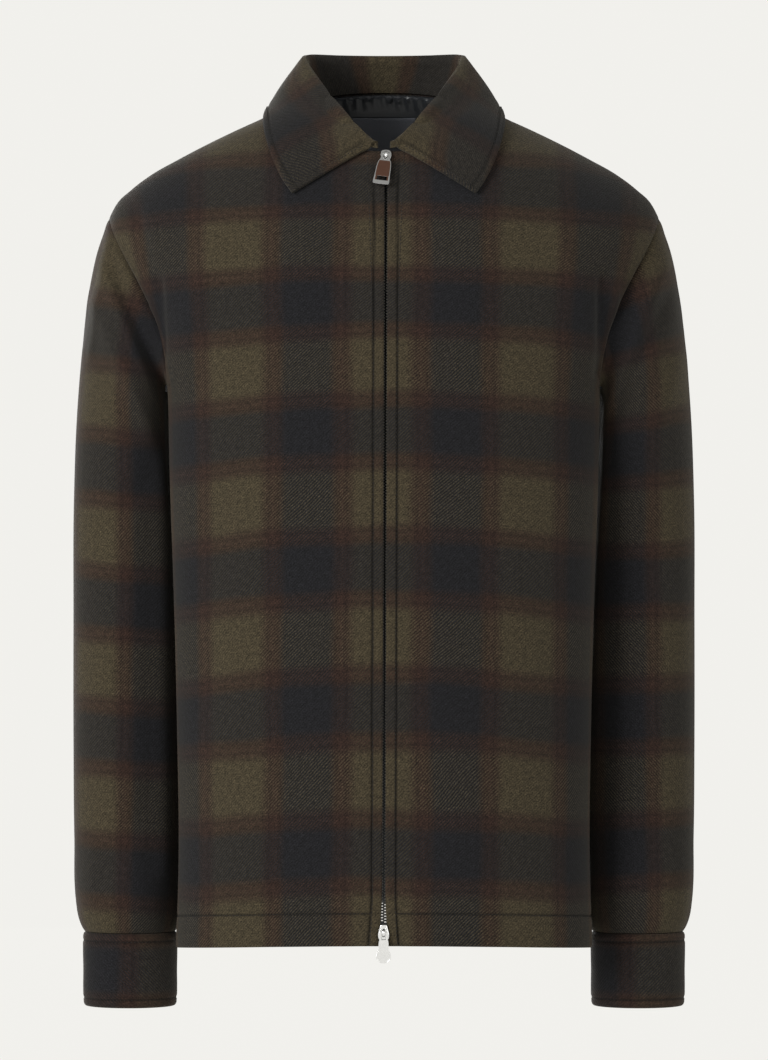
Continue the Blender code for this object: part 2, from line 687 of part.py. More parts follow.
def build_cloth():
    grids = cloth_panels()
    normals = shared_normals(grids)
    seams = {
        "front_left": ("top", "last"),
        "front_right": ("top", "first"),
        "back": ("top", "first", "last"),
        "sleeve_left": ("bottom",),
        "sleeve_right": ("bottom",),
    }
    for name, (grid, closed) in grids.items():
        normal, reach = normals[name]
        outer = grid.copy()
        inner = grid - normal * (reach * CLOTH_WALL)[..., None]
        for edge in seams[name]:
            seam_shift(outer, inner, normal, edge)
        add_walls(name, outer, inner, closed, WOOL)
    return grids, normals


def build_cuffs():
    turn = np.linspace(0.0, 2 * math.pi, 2 * ARMHOLE_ROWS, endpoint=False)
    for side, sign in (("left", 1), ("right", -1)):
        outer = []
        inner = []
        for z, half_width, half_depth in CUFF_RINGS:
            for ring, thin in ((outer, 0.0), (inner, CUFF_WALL)):
                x = sign * (CUFF_CENTRE[0] + (half_width - thin) * np.cos(turn))
                y = CUFF_CENTRE[1] - (half_depth - thin) * np.sin(turn)
                ring.append(np.column_stack([x, y, np.full_like(x, z)]))
        add_walls("cuff_" + side, np.stack(outer), np.stack(inner), True, WOOL)


def build_collar():
    half = collar_half(np.linspace(0.0, 1.0, COLLAR_HALF_COLUMNS + 1), (0.12, 0.32, 0.55, 0.78, 1.0))
    grid = np.concatenate([mirrored(half)[:, ::-1][:, :-1], half[:, ::-1]], axis=1)
    normal = grid_normals(grid, False)
    half_wall = COLLAR_WALL / 2
    add_walls("collar", grid + normal * half_wall, grid - normal * half_wall, False, WOOL)


def build_lining(grids, normals):
    """Lining from the back's own points, moved in by the wall and the seam gap."""
    outer = grids["back"][0][:, 1:-1].copy()
    across = normals["back"][0][:, 1:-1]
    outer -= across * (CLOTH_WALL + LINING_INSET)
    inner = outer - across * LINING_WALL
    for wall in (outer, inner):
        wall[-1] = wall[-1] + unit(wall[-2] - wall[-1]) * 1.2
        wall[0] = wall[0] + unit(wall[1] - wall[0]) * 20.0
    add_walls("lining_back", outer, inner, False, SATIN)
    return inner


def build_label(wall):
    """Label laid on the lining's inner wall, its points found straight behind it."""
    points = [Vector(point) for point in wall.reshape(-1, 3)]
    quads = faces_of(wall.shape[0], wall.shape[1], False)[: (wall.shape[0] - 1) * (wall.shape[1] - 1)]
    surface = BVHTree.FromPolygons(points, [list(map(int, quad)) for quad in quads])
    x = np.linspace(-LABEL_HALF_WIDTH, LABEL_HALF_WIDTH, 9)
    z = np.linspace(LABEL_TOP_Z, LABEL_TOP_Z - LABEL_HEIGHT, 6)
    grid = np.zeros((len(z), len(x), 3))
    for i, height in enumerate(z):
        for j, across in enumerate(x):
            hit = surface.ray_cast(Vector((across, 0.0, height)), Vector((0.0, 1.0, 0.0)))[0]
            grid[i, j] = hit
    normal = grid_normals(grid, False)
    normal *= np.sign(normal[..., 1:2])
    outer = grid - normal * LABEL_INSET
    add_walls("neck_label", outer, outer - normal * LABEL_WALL, False, LABEL)


def front_line(z):
    """Depth of the centre front and its outward normal over z."""
    def depth(height):
        upper = front_y(np.zeros_like(height), height)
        lower = body_row(height, 1)
        return np.where(height > BODY_ROWS[-1][0], upper, lower)

    z = np.asarray(z, float)
    slope = (depth(z + 1.0) - depth(z - 1.0)) / 2.0
    normal = unit(np.stack([np.zeros_like(z), -np.ones_like(z), slope], -1))
    return depth(z), normal


def build_zip_strips():
    rows = np.concatenate([np.linspace(-708.0, -260.0, 10), np.linspace(-225.0, -53.0, 9)])
    y, normal = front_line(rows)
    middle = np.column_stack([zip_x(rows), y, rows])
    behind = CLOTH_WALL + 0.7
    for side, sign in (("left", 1), ("right", -1)):
        widths = np.array([TAPE_INNER, TAPE_OUTER])[::sign]
        columns = [middle + [sign * width, 0, 0] for width in widths]
        grid = np.stack(columns, 1)
        outer = grid - normal[:, None] * behind
        add_walls("zip_tape_" + side, outer, outer - normal[:, None] * TAPE_WALL, False, TAPE)
    rows = np.concatenate([np.linspace(CHAIN_BOTTOM_Z, -260.0, 10), np.linspace(-225.0, CHAIN_TOP_Z, 9)])
    y, normal = front_line(rows)
    middle = np.column_stack([zip_x(rows), y, rows])
    columns = [middle + [width, 0, 0] for width in (-CHAIN_HALF_WIDTH, CHAIN_HALF_WIDTH)]
    outer = np.stack(columns, 1) - normal[:, None] * behind
    add_walls("zip_chain", outer, outer - normal[:, None] * CHAIN_WALL, False, TEETH)


def zip_frame(z):
    """Point on the zip line with its across, down and outward directions."""
    y, normal = front_line(np.array([z]))
    origin = np.array([float(zip_x(z)), float(y[0]), z])
    out = normal[0]
    across = np.array([1.0, 0.0, 0.0])
    down = np.cross(across, out)
    if down[2] > 0:
        down = -down
    return origin, across, down, out


def merge(parts):
    points = []
    faces = []
    base = 0
    for part_points, part_faces in parts:
        points.append(part_points)
        faces += [[k + base for k in face] for face in part_faces]
        base += len(part_points)
    return np.concatenate(points), faces


def build_slider(name, z, flip):
    """Front plate, neck through the edge gap and bail, as one body of stacked slices."""
    origin, across, down, out = zip_frame(z)
    lift = SLIDER_STAND_OFF

    def place(u, v, w):
        return origin + across * u + down * v * flip + out * w

    # Slices across the zip: distance along, half width of the plate
    points = []
    stations = SLIDER_PLATE
    for v, half in stations:
        section = [
            (-half, lift), (-half, lift + SLIDER_PLATE_WALL), (-BAIL_HALF_WIDTH, lift + SLIDER_PLATE_WALL + 0.35),
            (BAIL_HALF_WIDTH, lift + SLIDER_PLATE_WALL + 0.35), (half, lift + SLIDER_PLATE_WALL), (half, lift),
            (0.8, lift), (0.8, -CLOTH_WALL - 0.2), (-0.8, -CLOTH_WALL - 0.2), (-0.8, lift),
        ]
        points.append([place(u, v, w) for u, w in section])
    grid = np.array(points)
    rows, columns = grid.shape[:2]
    index = np.arange(rows * columns).reshape(rows, columns)
    index = np.column_stack([index, index[:, 0]])
    faces = [[index[i, j], index[i, j + 1], index[i + 1, j + 1], index[i + 1, j]]
             for i in range(rows - 1) for j in range(columns)]
    faces.append([int(k) for k in index[0, :-1]][::-1])
    faces.append([int(k) for k in index[-1, :-1]])
    plate = add_object(name, grid.reshape(-1, 3), faces, CHROME)
    # The bail is an arch of square wire standing on the plate.
    turn = np.linspace(0.0, math.pi, 9)
    top = lift + SLIDER_PLATE_WALL - 0.6
    rings = []
    for angle in turn:
        ring = []
        for grow, side in ((0, -1), (1, -1), (1, 1), (0, 1)):
            reach = BAIL_FEET - BAIL_WIRE + grow * BAIL_WIRE
            rise = BAIL_RISE - BAIL_WIRE + grow * BAIL_WIRE
            v = -math.cos(angle) * reach
            w = top + math.sin(angle) ** 0.6 * rise
            ring.append(place(side * BAIL_HALF_WIDTH, v, w))
        rings.append(ring)
    grid = np.array(rings)
    rows = len(grid)
    index = np.arange(rows * 4).reshape(rows, 4)
    index = np.column_stack([index, index[:, 0]])
    faces = [[index[i, j], index[i, j + 1], index[i + 1, j + 1], index[i + 1, j]]
             for i in range(rows - 1) for j in range(4)]
    faces.append([int(k) for k in index[0, :-1]][::-1])
    faces.append([int(k) for k in index[-1, :-1]])
    bail = add_object(name + "_bail", grid.reshape(-1, 3), faces, CHROME)
    join = plate.modifiers.new("join_bail", "BOOLEAN")
    join.operation = "UNION"
    join.solver = "EXACT"
    join.object = bail
    bpy.context.view_layer.update()
    joined = bpy.data.meshes.new_from_object(plate.evaluated_get(bpy.context.evaluated_depsgraph_get()))
    plate.modifiers.clear()
    plate.data = joined
    bpy.data.objects.remove(bail, do_unlink=True)
    return origin, across, down, out


def build_pull(name, rows, frame, lean, finish):
    """Flat tab with a hole round the bail, laid along the front and leaning a little."""
    origin, across, down, out = frame
    pivot = origin + out * (SLIDER_STAND_OFF + SLIDER_PLATE_WALL + PULL_LIFT)
    turned_down = down * math.cos(lean) - across * math.sin(lean)
    turned_across = across * math.cos(lean) + down * math.sin(lean)
    points = []
    for along, half, hole in rows:
        split = hole if hole > 0 else half * 0.5
        points += [(-half, along), (-split, along), (split, along), (half, along)]
    quads = []
    for i in range(len(rows) - 1):
        open_here = rows[i][2] > 0 and rows[i + 1][2] > 0
        for j in range(3):
            if j == 1 and open_here:
                continue
            quads.append([4 * i + j, 4 * i + j + 1, 4 * i + j + 5, 4 * i + j + 4])

    def place(u, v, w):
        return pivot + turned_across * u + turned_down * v + out * w

    solid, faces = add_prism(name, points, quads, -PULL_WALL / 2, PULL_WALL / 2, place, finish)
    add_object(name, solid, faces, finish, origin=pivot)
    print(name, "pivot_mm", np.round(pivot, 3).tolist(), "axis", np.round(turned_across, 5).tolist())


def clear_scene():
    for item in list(bpy.data.objects):
        bpy.data.objects.remove(item, do_unlink=True)


def main():
    clear_scene()
    grids, normals = build_cloth()
    build_cuffs()
    build_collar()
    build_label(build_lining(grids, normals))
    build_zip_strips()
    frame = build_slider("zip_slider_top", TOP_SLIDER_Z, 1)
    build_pull("zip_pull_top", TOP_PULL_ROWS, frame, TOP_PULL_LEAN, PULL_METAL)
    frame = build_slider("zip_slider_bottom", BOTTOM_SLIDER_Z, -1)
    build_pull("zip_pull_bottom", BOTTOM_PULL_ROWS, frame, 0.0, CHROME)


main()
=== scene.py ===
import math

import bpy
import numpy as np
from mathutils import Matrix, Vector


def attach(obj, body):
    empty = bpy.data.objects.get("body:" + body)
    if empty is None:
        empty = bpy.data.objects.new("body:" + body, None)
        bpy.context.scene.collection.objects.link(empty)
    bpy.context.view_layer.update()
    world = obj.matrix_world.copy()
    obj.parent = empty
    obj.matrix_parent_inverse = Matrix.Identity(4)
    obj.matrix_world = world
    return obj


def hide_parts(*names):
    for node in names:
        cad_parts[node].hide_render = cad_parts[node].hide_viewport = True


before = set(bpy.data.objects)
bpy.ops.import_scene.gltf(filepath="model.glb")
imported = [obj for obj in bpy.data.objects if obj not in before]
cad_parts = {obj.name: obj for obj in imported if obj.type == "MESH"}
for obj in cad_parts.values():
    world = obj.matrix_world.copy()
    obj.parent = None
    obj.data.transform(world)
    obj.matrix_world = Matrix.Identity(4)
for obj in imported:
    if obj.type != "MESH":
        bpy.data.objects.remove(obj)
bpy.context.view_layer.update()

mm = 0.001          # tables are in millimetres, as in the part
tau = 2 * math.pi

# The body's lines. rows: front z, front y, half width, dip at the side, back y
body = {
    "wall": 2.0,
    "seamGap": 0.14,
    "shoulderY": 5.0,
    "sideY": -26.0,
    "frontPower": 2.4,
    "backPower": 2.05,
    "neckHalf": 76.0,
    "depthFall": 210.0,
    "fallLoss": 80.0,
    "overShoulder": 30.0,    # above this drop the check follows the cloth's own length
    "topRun": 240.0,         # length of a front's top edge, for the columns beside its stitches
    "lowerRun": 476.0,       # height from hem to underarm, for the rows beside the hem's stitches
    "shoulderX": [76, 101, 125, 151, 175, 198, 215, 228, 234],
    "shoulderZ": [-1.5, -15, -26, -38.6, -51.2, -64.2, -77, -90, -101.5],
    "rows": [
        (-711, -126, 175.5, 8, 118),
        (-634, -129, 173.5, 11, 121),
        (-513, -132, 175.0, 15, 124),
        (-396, -134, 178.0, 15, 127),
        (-310, -135, 181.0, 13, 129),
        (-235, -136, 182.5, 11, 131),
    ],
    "frontArmholeX": [182.5, 183.2, 185.5, 190, 199, 210, 222, 229.5, 234],
    "frontArmholeZ": [-246, -234, -216, -196, -174, -152, -130, -114, -101.5],
    "backArmholeX": [182.5, 181.3, 179.9, 178.3, 177.3, 180, 188, 199, 213, 226, 234],
    "backArmholeZ": [-246, -240.5, -235, -227, -213, -194, -172, -152, -133, -117, -101.5],
    "backWidthZ": [-246, -240.5, -235, -227, -213, -190, -170, -145, -122, -101.5],
    "backWidth": [182.5, 182.6, 184.7, 189.6, 198, 211, 219, 228, 236, 241],
    "frontNeckX": [0, 20, 40, 57, 68, 76],
    "frontNeckZ": [-50, -48, -40, -27, -14, -1.5],
    "backNeckX": [0, 20, 40, 60, 70, 76],
    "backNeckZ": [10, 9.5, 7.5, 3, 0.6, -1.5],
    "frontNeckShare": 0.375,
    "backNeckShare": 4 / 14,
}

# The check and its weave, charted from one repeat: a navy core, a brown band of threads and olive
cloth = {
    "across": 124.0,     # repeat along the weft
    "along": 118.0,      # repeat along the warp
    "twill": 2.1,        # between two diagonals
    "navy": (36, 36, 39),
    "brown": (57, 42, 36),
    "olive": (76, 68, 52),
    "navyEnds": (0.135, 0.205),    # share of a repeat from the navy middle
    "oliveStarts": (0.255, 0.345),
    "threads": [(0.196, 0.007, -0.12), (0.232, 0.006, 0.10), (0.262, 0.006, -0.13), (0.305, 0.005, -0.06)],
    "gain": 0.46,
    "grooveShade": 0.45,      # painted shade: how much darker the cloth is painted in the stitched grooves
}


# Smooth curve through values at knots: a cubic between neighbours, slopes from the differences.
def curveThrough(knots, values, at):
    knots = np.asarray(knots, float)
    values = np.asarray(values, float)
    at = np.clip(np.asarray(at, float), knots[0], knots[-1])
    slopes = np.gradient(values, knots, axis=0)
    i = np.clip(np.searchsorted(knots, at) - 1, 0, len(knots) - 2)
    step = knots[i + 1] - knots[i]
    t = (at - knots[i]) / step
    if values.ndim > 1:
        extra = (1,) * (values.ndim - 1)
        t = t.reshape(t.shape + extra)
        step = step.reshape(step.shape + extra)
    return ((2 * t**3 - 3 * t**2 + 1) * values[i] + (t**3 - 2 * t**2 + t) * step * slopes[i]
            + (3 * t**2 - 2 * t**3) * values[i + 1] + (t**3 - t**2) * step * slopes[i + 1])


# Length along a polyline from its first point: the running sum of |p(k+1) - p(k)|.
def lengthRun(points):
    return np.concatenate([[0.0], np.cumsum(np.linalg.norm(np.diff(points, axis=0), axis=1))])


# Points at shares of a polyline's own length.
def evenAlong(points, shares):
    run = lengthRun(points)
    return np.stack([np.interp(shares, run / run[-1], points[:, k]) for k in range(points.shape[1])], 1)


# Even steps with close extra places; an even one that is nearer than `near` to an extra is left out.
def spaced(low, high, steps, extra, near):
    even = np.linspace(low, high, steps + 1)
    extra = np.asarray(extra, float)
    if len(extra):
        far = np.abs(even[:, None] - extra[None, :]).min(1) > near
        far[[0, -1]] = True
        even = even[far]
    return np.unique(np.concatenate([even, extra]))


def unit(vectors):
    return vectors / np.maximum(np.linalg.norm(vectors, axis=-1, keepdims=True), 1e-9)


# Normal of a grid: along the row crossed with up the column.
def gridNormals(grid, closed):
    along = np.roll(grid, -1, 1) - np.roll(grid, 1, 1) if closed else np.gradient(grid, axis=1)
    return unit(np.cross(along, np.gradient(grid, axis=0)))


# Lengths along a grid from its first column, last column, first row and last row.
def runs(grid):
    across = np.linalg.norm(np.diff(grid, axis=1), axis=2)
    up = np.linalg.norm(np.diff(grid, axis=0), axis=2)
    first = np.pad(np.cumsum(across, 1), ((0, 0), (1, 0)))
    bottom = np.pad(np.cumsum(up, 0), ((1, 0), (0, 0)))
    return first, first[:, -1:] - first, bottom, bottom[-1:] - bottom


# Soft pulse: exp(-(distance / width)^2)
def pulse(distance, width):
    return np.exp(-((distance / width) ** 2))


# Stitched edge: rolled in at the edge, puffed up to the seam and pulled down at the stitches.
def stitchedEdge(distance, at, puff, pull):
    between = np.clip(distance / at, 0, 1)
    return (puff * np.sin(math.pi * between) ** 0.7 * (distance < at)
            - 0.75 * pulse(distance, 1.1) - pull * pulse(distance - at, 0.95)
            + 0.3 * puff * pulse(distance - at - 3.2, 2.2))


def shoulderHeight(x, front):
    x = np.abs(x)
    outer = curveThrough(body["shoulderX"], body["shoulderZ"], x)
    top = body["shoulderZ"][0]
    neck = body["neckHalf"]
    over = top + 0.15 * (neck - x) if front else top + 39.0 * (1 - (x / neck) ** 2)
    return np.where(x < neck, over, outer)


def bodyRow(z, column):
    rows = np.array(body["rows"], float)
    return curveThrough(rows[:, 0], rows[:, column], np.minimum(z, rows[-1, 0]))


def frontWidth(z):
    x = curveThrough(body["frontArmholeZ"], body["frontArmholeX"], z)
    return x / (1 - np.clip(0.0009 * (z - body["frontArmholeZ"][0]), 0, 0.03))


def backWidth(z):
    return curveThrough(body["backWidthZ"], body["backWidth"], z)


def middleY(front):
    return body["rows"][-1][1 if front else 4]


def roundness(front):
    return body["frontPower" if front else "backPower"]


# Superellipse: y = side + (middle - side) * (1 - (x/w)^n)^(1/n)
def sectionY(x, halfWidth, middle, power):
    share = np.clip(np.abs(x) / halfWidth, 0, 1) ** power
    return body["sideY"] + (middle - body["sideY"]) * (1 - share) ** (1 / power)


# Quarter circle from the shoulder line down to the full depth.
def fall(drop, x):
    length = body["depthFall"] - body["fallLoss"] * np.clip(np.abs(x) / 230, 0, 1)
    return np.sqrt(np.maximum(1 - (1 - np.clip(drop / length, 0, 1)) ** 2, 0))


def panelY(x, z, front):
    width = frontWidth(z) if front else backWidth(z)
    full = sectionY(x, width, middleY(front), roundness(front))
    return body["shoulderY"] + (full - body["shoulderY"]) * fall(shoulderHeight(x, front) - z, x)


# One row below the underarm: the superellipse walked at even lengths, dipping with the share squared.
def lowerRow(z, shares, front):
    power = 2 / roundness(front)
    t = np.linspace(0, math.pi / 2, 481)
    x = bodyRow(z, 2) * np.sin(t) ** power
    y = body["sideY"] + (bodyRow(z, 1 if front else 4) - body["sideY"]) * np.cos(t) ** power
    flat = evenAlong(np.stack([x, y], 1), shares)
    return np.column_stack([flat, z - bodyRow(z, 3) * shares**2])


def armhole(shares, front):
    if front:
        z = np.linspace(body["frontArmholeZ"][0], body["frontArmholeZ"][-1], 600)
        x = curveThrough(body["frontArmholeZ"], body["frontArmholeX"], z)
    else:
        knots = np.arange(len(body["backArmholeX"]))
        dense = np.linspace(0, knots[-1], 600)
        x = curveThrough(knots, body["backArmholeX"], dense)
        z = curveThrough(knots, body["backArmholeZ"], dense)
    return evenAlong(np.column_stack([x, panelY(x, z, front), z]), shares)


# Neckline up to its share, then the shoulder seam, as x and z.
def topEdge(front, shares, neckShare):
    neckX = np.linspace(0, body["neckHalf"], 200)
    side = "front" if front else "back"
    neckZ = curveThrough(body[side + "NeckX"], body[side + "NeckZ"], neckX)
    neck = np.column_stack([neckX, neckZ, panelY(neckX, neckZ, front)])
    lineX = np.linspace(body["shoulderX"][0], body["shoulderX"][-1], 200)
    line = np.column_stack([lineX, curveThrough(body["shoulderX"], body["shoulderZ"], lineX)])
    onNeck = evenAlong(neck, np.clip(shares / neckShare, 0, 1))[:, :2]
    onLine = evenAlong(line, np.clip((shares - neckShare) / (1 - neckShare), 0, 1))
    return np.where((shares <= neckShare)[:, None], onNeck, onLine)


# Half a panel: rows from hem to underarm, then a blend between underarm, armhole and top edge.
def halfPanel(shares, lower, upper, front):
    neckShare = body["frontNeckShare" if front else "backNeckShare"]
    low, high = body["rows"][0][0], body["rows"][-1][0]
    below = np.stack([lowerRow(z, shares, front) for z in low + (high - low) * lower])
    bottom = below[-1]
    top = topEdge(front, shares, neckShare)
    side = armhole(upper, front)
    g = (1 - (1 - upper) ** 1.7)[:, None, None]
    s = shares[None, :, None]
    straight = (1 - g) * bottom[-1, [0, 2]] + g * top[-1]
    flat = (1 - g) * bottom[None, :, [0, 2]] + g * top[None] + s * (side[:, None, [0, 2]] - straight)
    y = panelY(flat[..., 0], flat[..., 1], front)
    y[0] = bottom[:, 1]
    y[:, -1] = side[:, 1]
    y[-1, shares >= neckShare - 1e-6] = body["shoulderY"]
    return np.concatenate([below[:-1], np.stack([flat[..., 0], y, flat[..., 1]], 2)])


def torsoX(y, z):
    low = np.clip(z + 8, body["rows"][0][0], body["rows"][-1][0])
    width = np.where(np.logical_and(z > -246, y > body["sideY"]), backWidth(z), bodyRow(low, 2))
    back = np.clip((y - body["sideY"]) / (bodyRow(low, 4) - body["sideY"]), 0, 1)
    front = np.clip((body["sideY"] - y) / (body["sideY"] - bodyRow(low, 1)), 0, 1)
    return (width * (1 - back ** body["backPower"]) ** (1 / body["backPower"])
            * (1 - front ** body["frontPower"]) ** (1 / body["frontPower"]))


# Sum of soft ridges and troughs about lines in front or back view, faded at their ends.
def creases(grid, lines):
    push = np.zeros(grid.shape[:2])
    for x0, z0, x1, z1, size, width in lines:
        line = np.array([x1 - x0, z1 - z0], float)
        length = np.linalg.norm(line)
        line /= length
        dx = np.abs(grid[..., 0]) - x0
        dz = grid[..., 2] - z0
        along = (dx * line[0] + dz * line[1]) / length
        beyond = np.maximum(np.abs(along - 0.5) - 0.5, 0) * length
        push += size * pulse(dx * line[1] - dz * line[0], width) * pulse(beyond, 1.6 * width)
    return push


# Normals with the seams' points welded, and how far the mitre reaches there.
def sharedNormals(grids):
    points, corners, group, base = [], [], [], 0
    for name, (grid, closed) in grids.items():
        index = base + np.arange(grid.shape[0] * grid.shape[1]).reshape(grid.shape[:2])
        quads = gridQuads(closeRing(index) if closed else index)
        corners.append(quads)
        group.append(np.full(len(quads), int(name.startswith("sleeve"))))
        points.append(grid.reshape(-1, 3))
        base += grid.shape[0] * grid.shape[1]
    points, corners, group = np.concatenate(points), np.concatenate(corners), np.concatenate(group)
    weld = np.unique(np.round(points, 3), axis=0, return_inverse=True)[1].ravel()
    a, b, c, d = (points[corners[:, k]] for k in range(4))
    face = unit(np.cross(c - a, d - b))
    totals = np.zeros((2, weld.max() + 1, 3))
    for k in range(4):
        np.add.at(totals, (group, weld[corners[:, k]]), face)
    totals = unit(totals)
    normal = unit(totals.sum(0))
    cosine = np.where(np.abs(totals).sum(2) > 0, (totals * normal).sum(2), 1.0).min(0)
    reach = 1 / np.clip(cosine, 0.5, 1)
    found, base = {}, 0
    for name, (grid, closed) in grids.items():
        piece = weld[base:base + grid.shape[0] * grid.shape[1]].reshape(grid.shape[:2])
        found[name] = (normal[piece], reach[piece])
        base += piece.size
    return found


def closeRing(index):
    return np.column_stack([index, index[:, 0]])


# Cells of an index grid as quads, walked along the row and then up the column.
def gridQuads(index):
    return np.stack([index[:-1, :-1], index[:-1, 1:], index[1:, 1:], index[1:, :-1]], -1).reshape(-1, 4)


# Moves one edge of both walls half the gap off the seam.
def openSeam(outer, inner, normals, edge):
    here, near = {
        "top": ((-1, slice(None)), (-2, slice(None))),
        "bottom": ((0, slice(None)), (1, slice(None))),
        "first": ((slice(None), 0), (slice(None), 1)),
        "last": ((slice(None), -1), (slice(None), -2)),
    }[edge]
    side = unit(np.cross(normals[here], unit(np.gradient(outer[here], axis=0))))
    lean = (side * (unit(outer[near] - outer[here]) - unit(outer[near] - inner[near]))).sum(1, keepdims=True)
    side = side * np.where(lean < 0, -1, 1) * body["seamGap"] / 2
    outer[here] += side
    inner[here] += side


# Corners of a sheet or tube with two walls and rims; each corner is a vertex and a place on the cloth.
def twoWalls(rows, columns, closed):
    vertex = np.arange(rows * columns).reshape(rows, columns)
    if closed:
        vertex = closeRing(vertex)
    place = np.arange(vertex.size).reshape(vertex.shape)
    outer = np.stack([vertex, place], -1)
    inner = outer + [rows * columns, 0]
    o, n = outer, inner
    sets = [
        ((o[:-1, :-1], o[:-1, 1:], o[1:, 1:], o[1:, :-1]), 0),
        ((n[:-1, :-1], n[1:, :-1], n[1:, 1:], n[:-1, 1:]), 1),
        ((o[0, 1:], o[0, :-1], n[0, :-1], n[0, 1:]), 0),
        ((o[-1, :-1], o[-1, 1:], n[-1, 1:], n[-1, :-1]), 0),
    ]
    if not closed:
        sets.append(((o[:-1, 0], o[1:, 0], n[1:, 0], n[:-1, 0]), 0))
        sets.append(((o[1:, -1], o[:-1, -1], n[:-1, -1], n[1:, -1]), 0))
    quads = [np.stack(four, -2).reshape(-1, 4, 2) for four, side in sets]
    sides = [np.full(len(quad), side) for quad, (four, side) in zip(quads, sets)]
    return np.concatenate(quads), np.concatenate(sides)


# Makes a mesh object from points in mm, with its faces as given.
def addMesh(name, points, faces, materials, faceUv=None, faceMaterial=None, smooth=True):
    points = np.asarray(points, float)
    mesh = bpy.data.meshes.new(name)
    mesh.from_pydata((points * mm).tolist(), [], [list(map(int, face)) for face in faces])
    mesh.update()
    for material in materials:
        mesh.materials.append(material)
    if faceMaterial is not None:
        mesh.polygons.foreach_set("material_index", np.asarray(faceMaterial, np.int32))
    mesh.polygons.foreach_set("use_smooth", np.full(len(mesh.polygons), smooth))
    if faceUv is not None:
        layer = mesh.uv_layers.new(name="cloth")
        layer.uv.foreach_set("vector", np.asarray(faceUv, np.float32).ravel())
    piece = bpy.data.objects.new(name, mesh)
    bpy.context.scene.collection.objects.link(piece)
    return piece


# Signed volume: the sum over triangles of a . (b x c) / 6
def signedVolume(points, quads):
    a, b, c, d = (points[quads[:, k]] for k in range(4))
    return ((a * np.cross(b, c)).sum() + (a * np.cross(c, d)).sum()) / 6


# Rounds the edges sharper than an angle, in degrees, by a width in mm.
def roundRim(piece, angle, width):
    rim = piece.modifiers.new("roundedRim", "BEVEL")
    rim.limit_method = "ANGLE"
    rim.angle_limit = math.radians(angle)
    rim.width = width * mm
    rim.segments = 2


# A piece of cloth from two walls and a grid of cloth places (u, v in mm, one column more on a tube).
def addCloth(name, outer, inner, closed, places, materials, rounding=0.55):
    rows, columns = outer.shape[:2]
    quads, sides = twoWalls(rows, columns, closed)
    points = np.concatenate([outer.reshape(-1, 3), inner.reshape(-1, 3)])
    if signedVolume(points, quads[..., 0]) < 0:
        quads = quads[:, ::-1]
    uv = places.reshape(-1, 2)[quads[..., 1]] * mm
    piece = addMesh(name, points, quads[..., 0], materials, uv, sides if len(materials) > 1 else None)
    roundRim(piece, 48, rounding)
    return piece


# Painted shade in the stitched grooves: one value for each point of the outer wall.
def addGrooveShade(piece, values):
    mesh = piece.data
    every = np.zeros(len(mesh.vertices), np.float32)
    every[:values.size] = values.ravel()
    mesh.attributes.new("grooveShade", "FLOAT", "POINT").data.foreach_set("value", every)


# Stitches along a line on the cloth: short five-sided rods, high in the middle and sunk at the ends.
def stitchRods(line, normals, look):
    run = lengthRun(line)
    count = max(int(run[-1] / look["pitch"]), 1)
    centres = (np.arange(count) + 0.5) * run[-1] / count
    step = look["length"] / 2 * np.array([-1, 0, 1])
    at = np.clip(centres[:, None] + step[None, :], 0, run[-1])
    points = np.stack([np.interp(at, run, line[:, k]) for k in range(3)], -1)
    outs = unit(np.stack([np.interp(at, run, normals[:, k]) for k in range(3)], -1))
    tangents = unit(points[:, 2:] - points[:, :1])
    sides = np.cross(outs, tangents)
    points = points + outs * (look["radius"] * np.array([-0.9, 0.55, -0.9]))[None, :, None]
    turn = np.arange(5) * tau / 5
    thick = look["radius"] * np.array([0.55, 1.0, 0.55])[None, :, None, None]
    ring = (outs[:, :, None] * np.cos(turn)[:, None] + sides[:, :, None] * np.sin(turn)[:, None]) * thick
    return (points[:, :, None] + ring).reshape(count, 15, 3)


# Side quads and flat ends of one rod of equal rings.
def rodParts(rings, around):
    k = np.arange(around)
    n = (k + 1) % around
    quads = [np.stack([k, n, n + around, k + around], 1) + r * around for r in range(rings - 1)]
    return np.concatenate(quads), np.array([k[::-1], k + (rings - 1) * around])


# The same faces for many rods: all sides first, then all ends.
def rodFaces(rods, quads, ends):
    base = rods.shape[1] * np.arange(len(rods))[:, None, None]
    return (base + quads).reshape(-1, 4).tolist() + (base + ends).reshape(-1, ends.shape[1]).tolist()


def addStitches(name, lines, look, material):
    rods = np.concatenate([stitchRods(line, normals, look) for line, normals in lines])
    return addMesh(name, rods.reshape(-1, 3), rodFaces(rods, *rodParts(3, 5)), [material])


def colour(red, green, blue):
    # linear light of a screen colour: ((c + 0.055) / 1.055)^2.4
    return tuple(((value / 255 + 0.055) / 1.055) ** 2.4 for value in (red, green, blue)) + (1.0,)


def scaled(tone, gain):
    return tuple(value * gain for value in tone[:3]) + (1.0,)


def screenTone(red, green, blue):
    # the screen value itself, mixed as the eye sees it and made linear at the end
    return (red / 255, green / 255, blue / 255, 1.0)


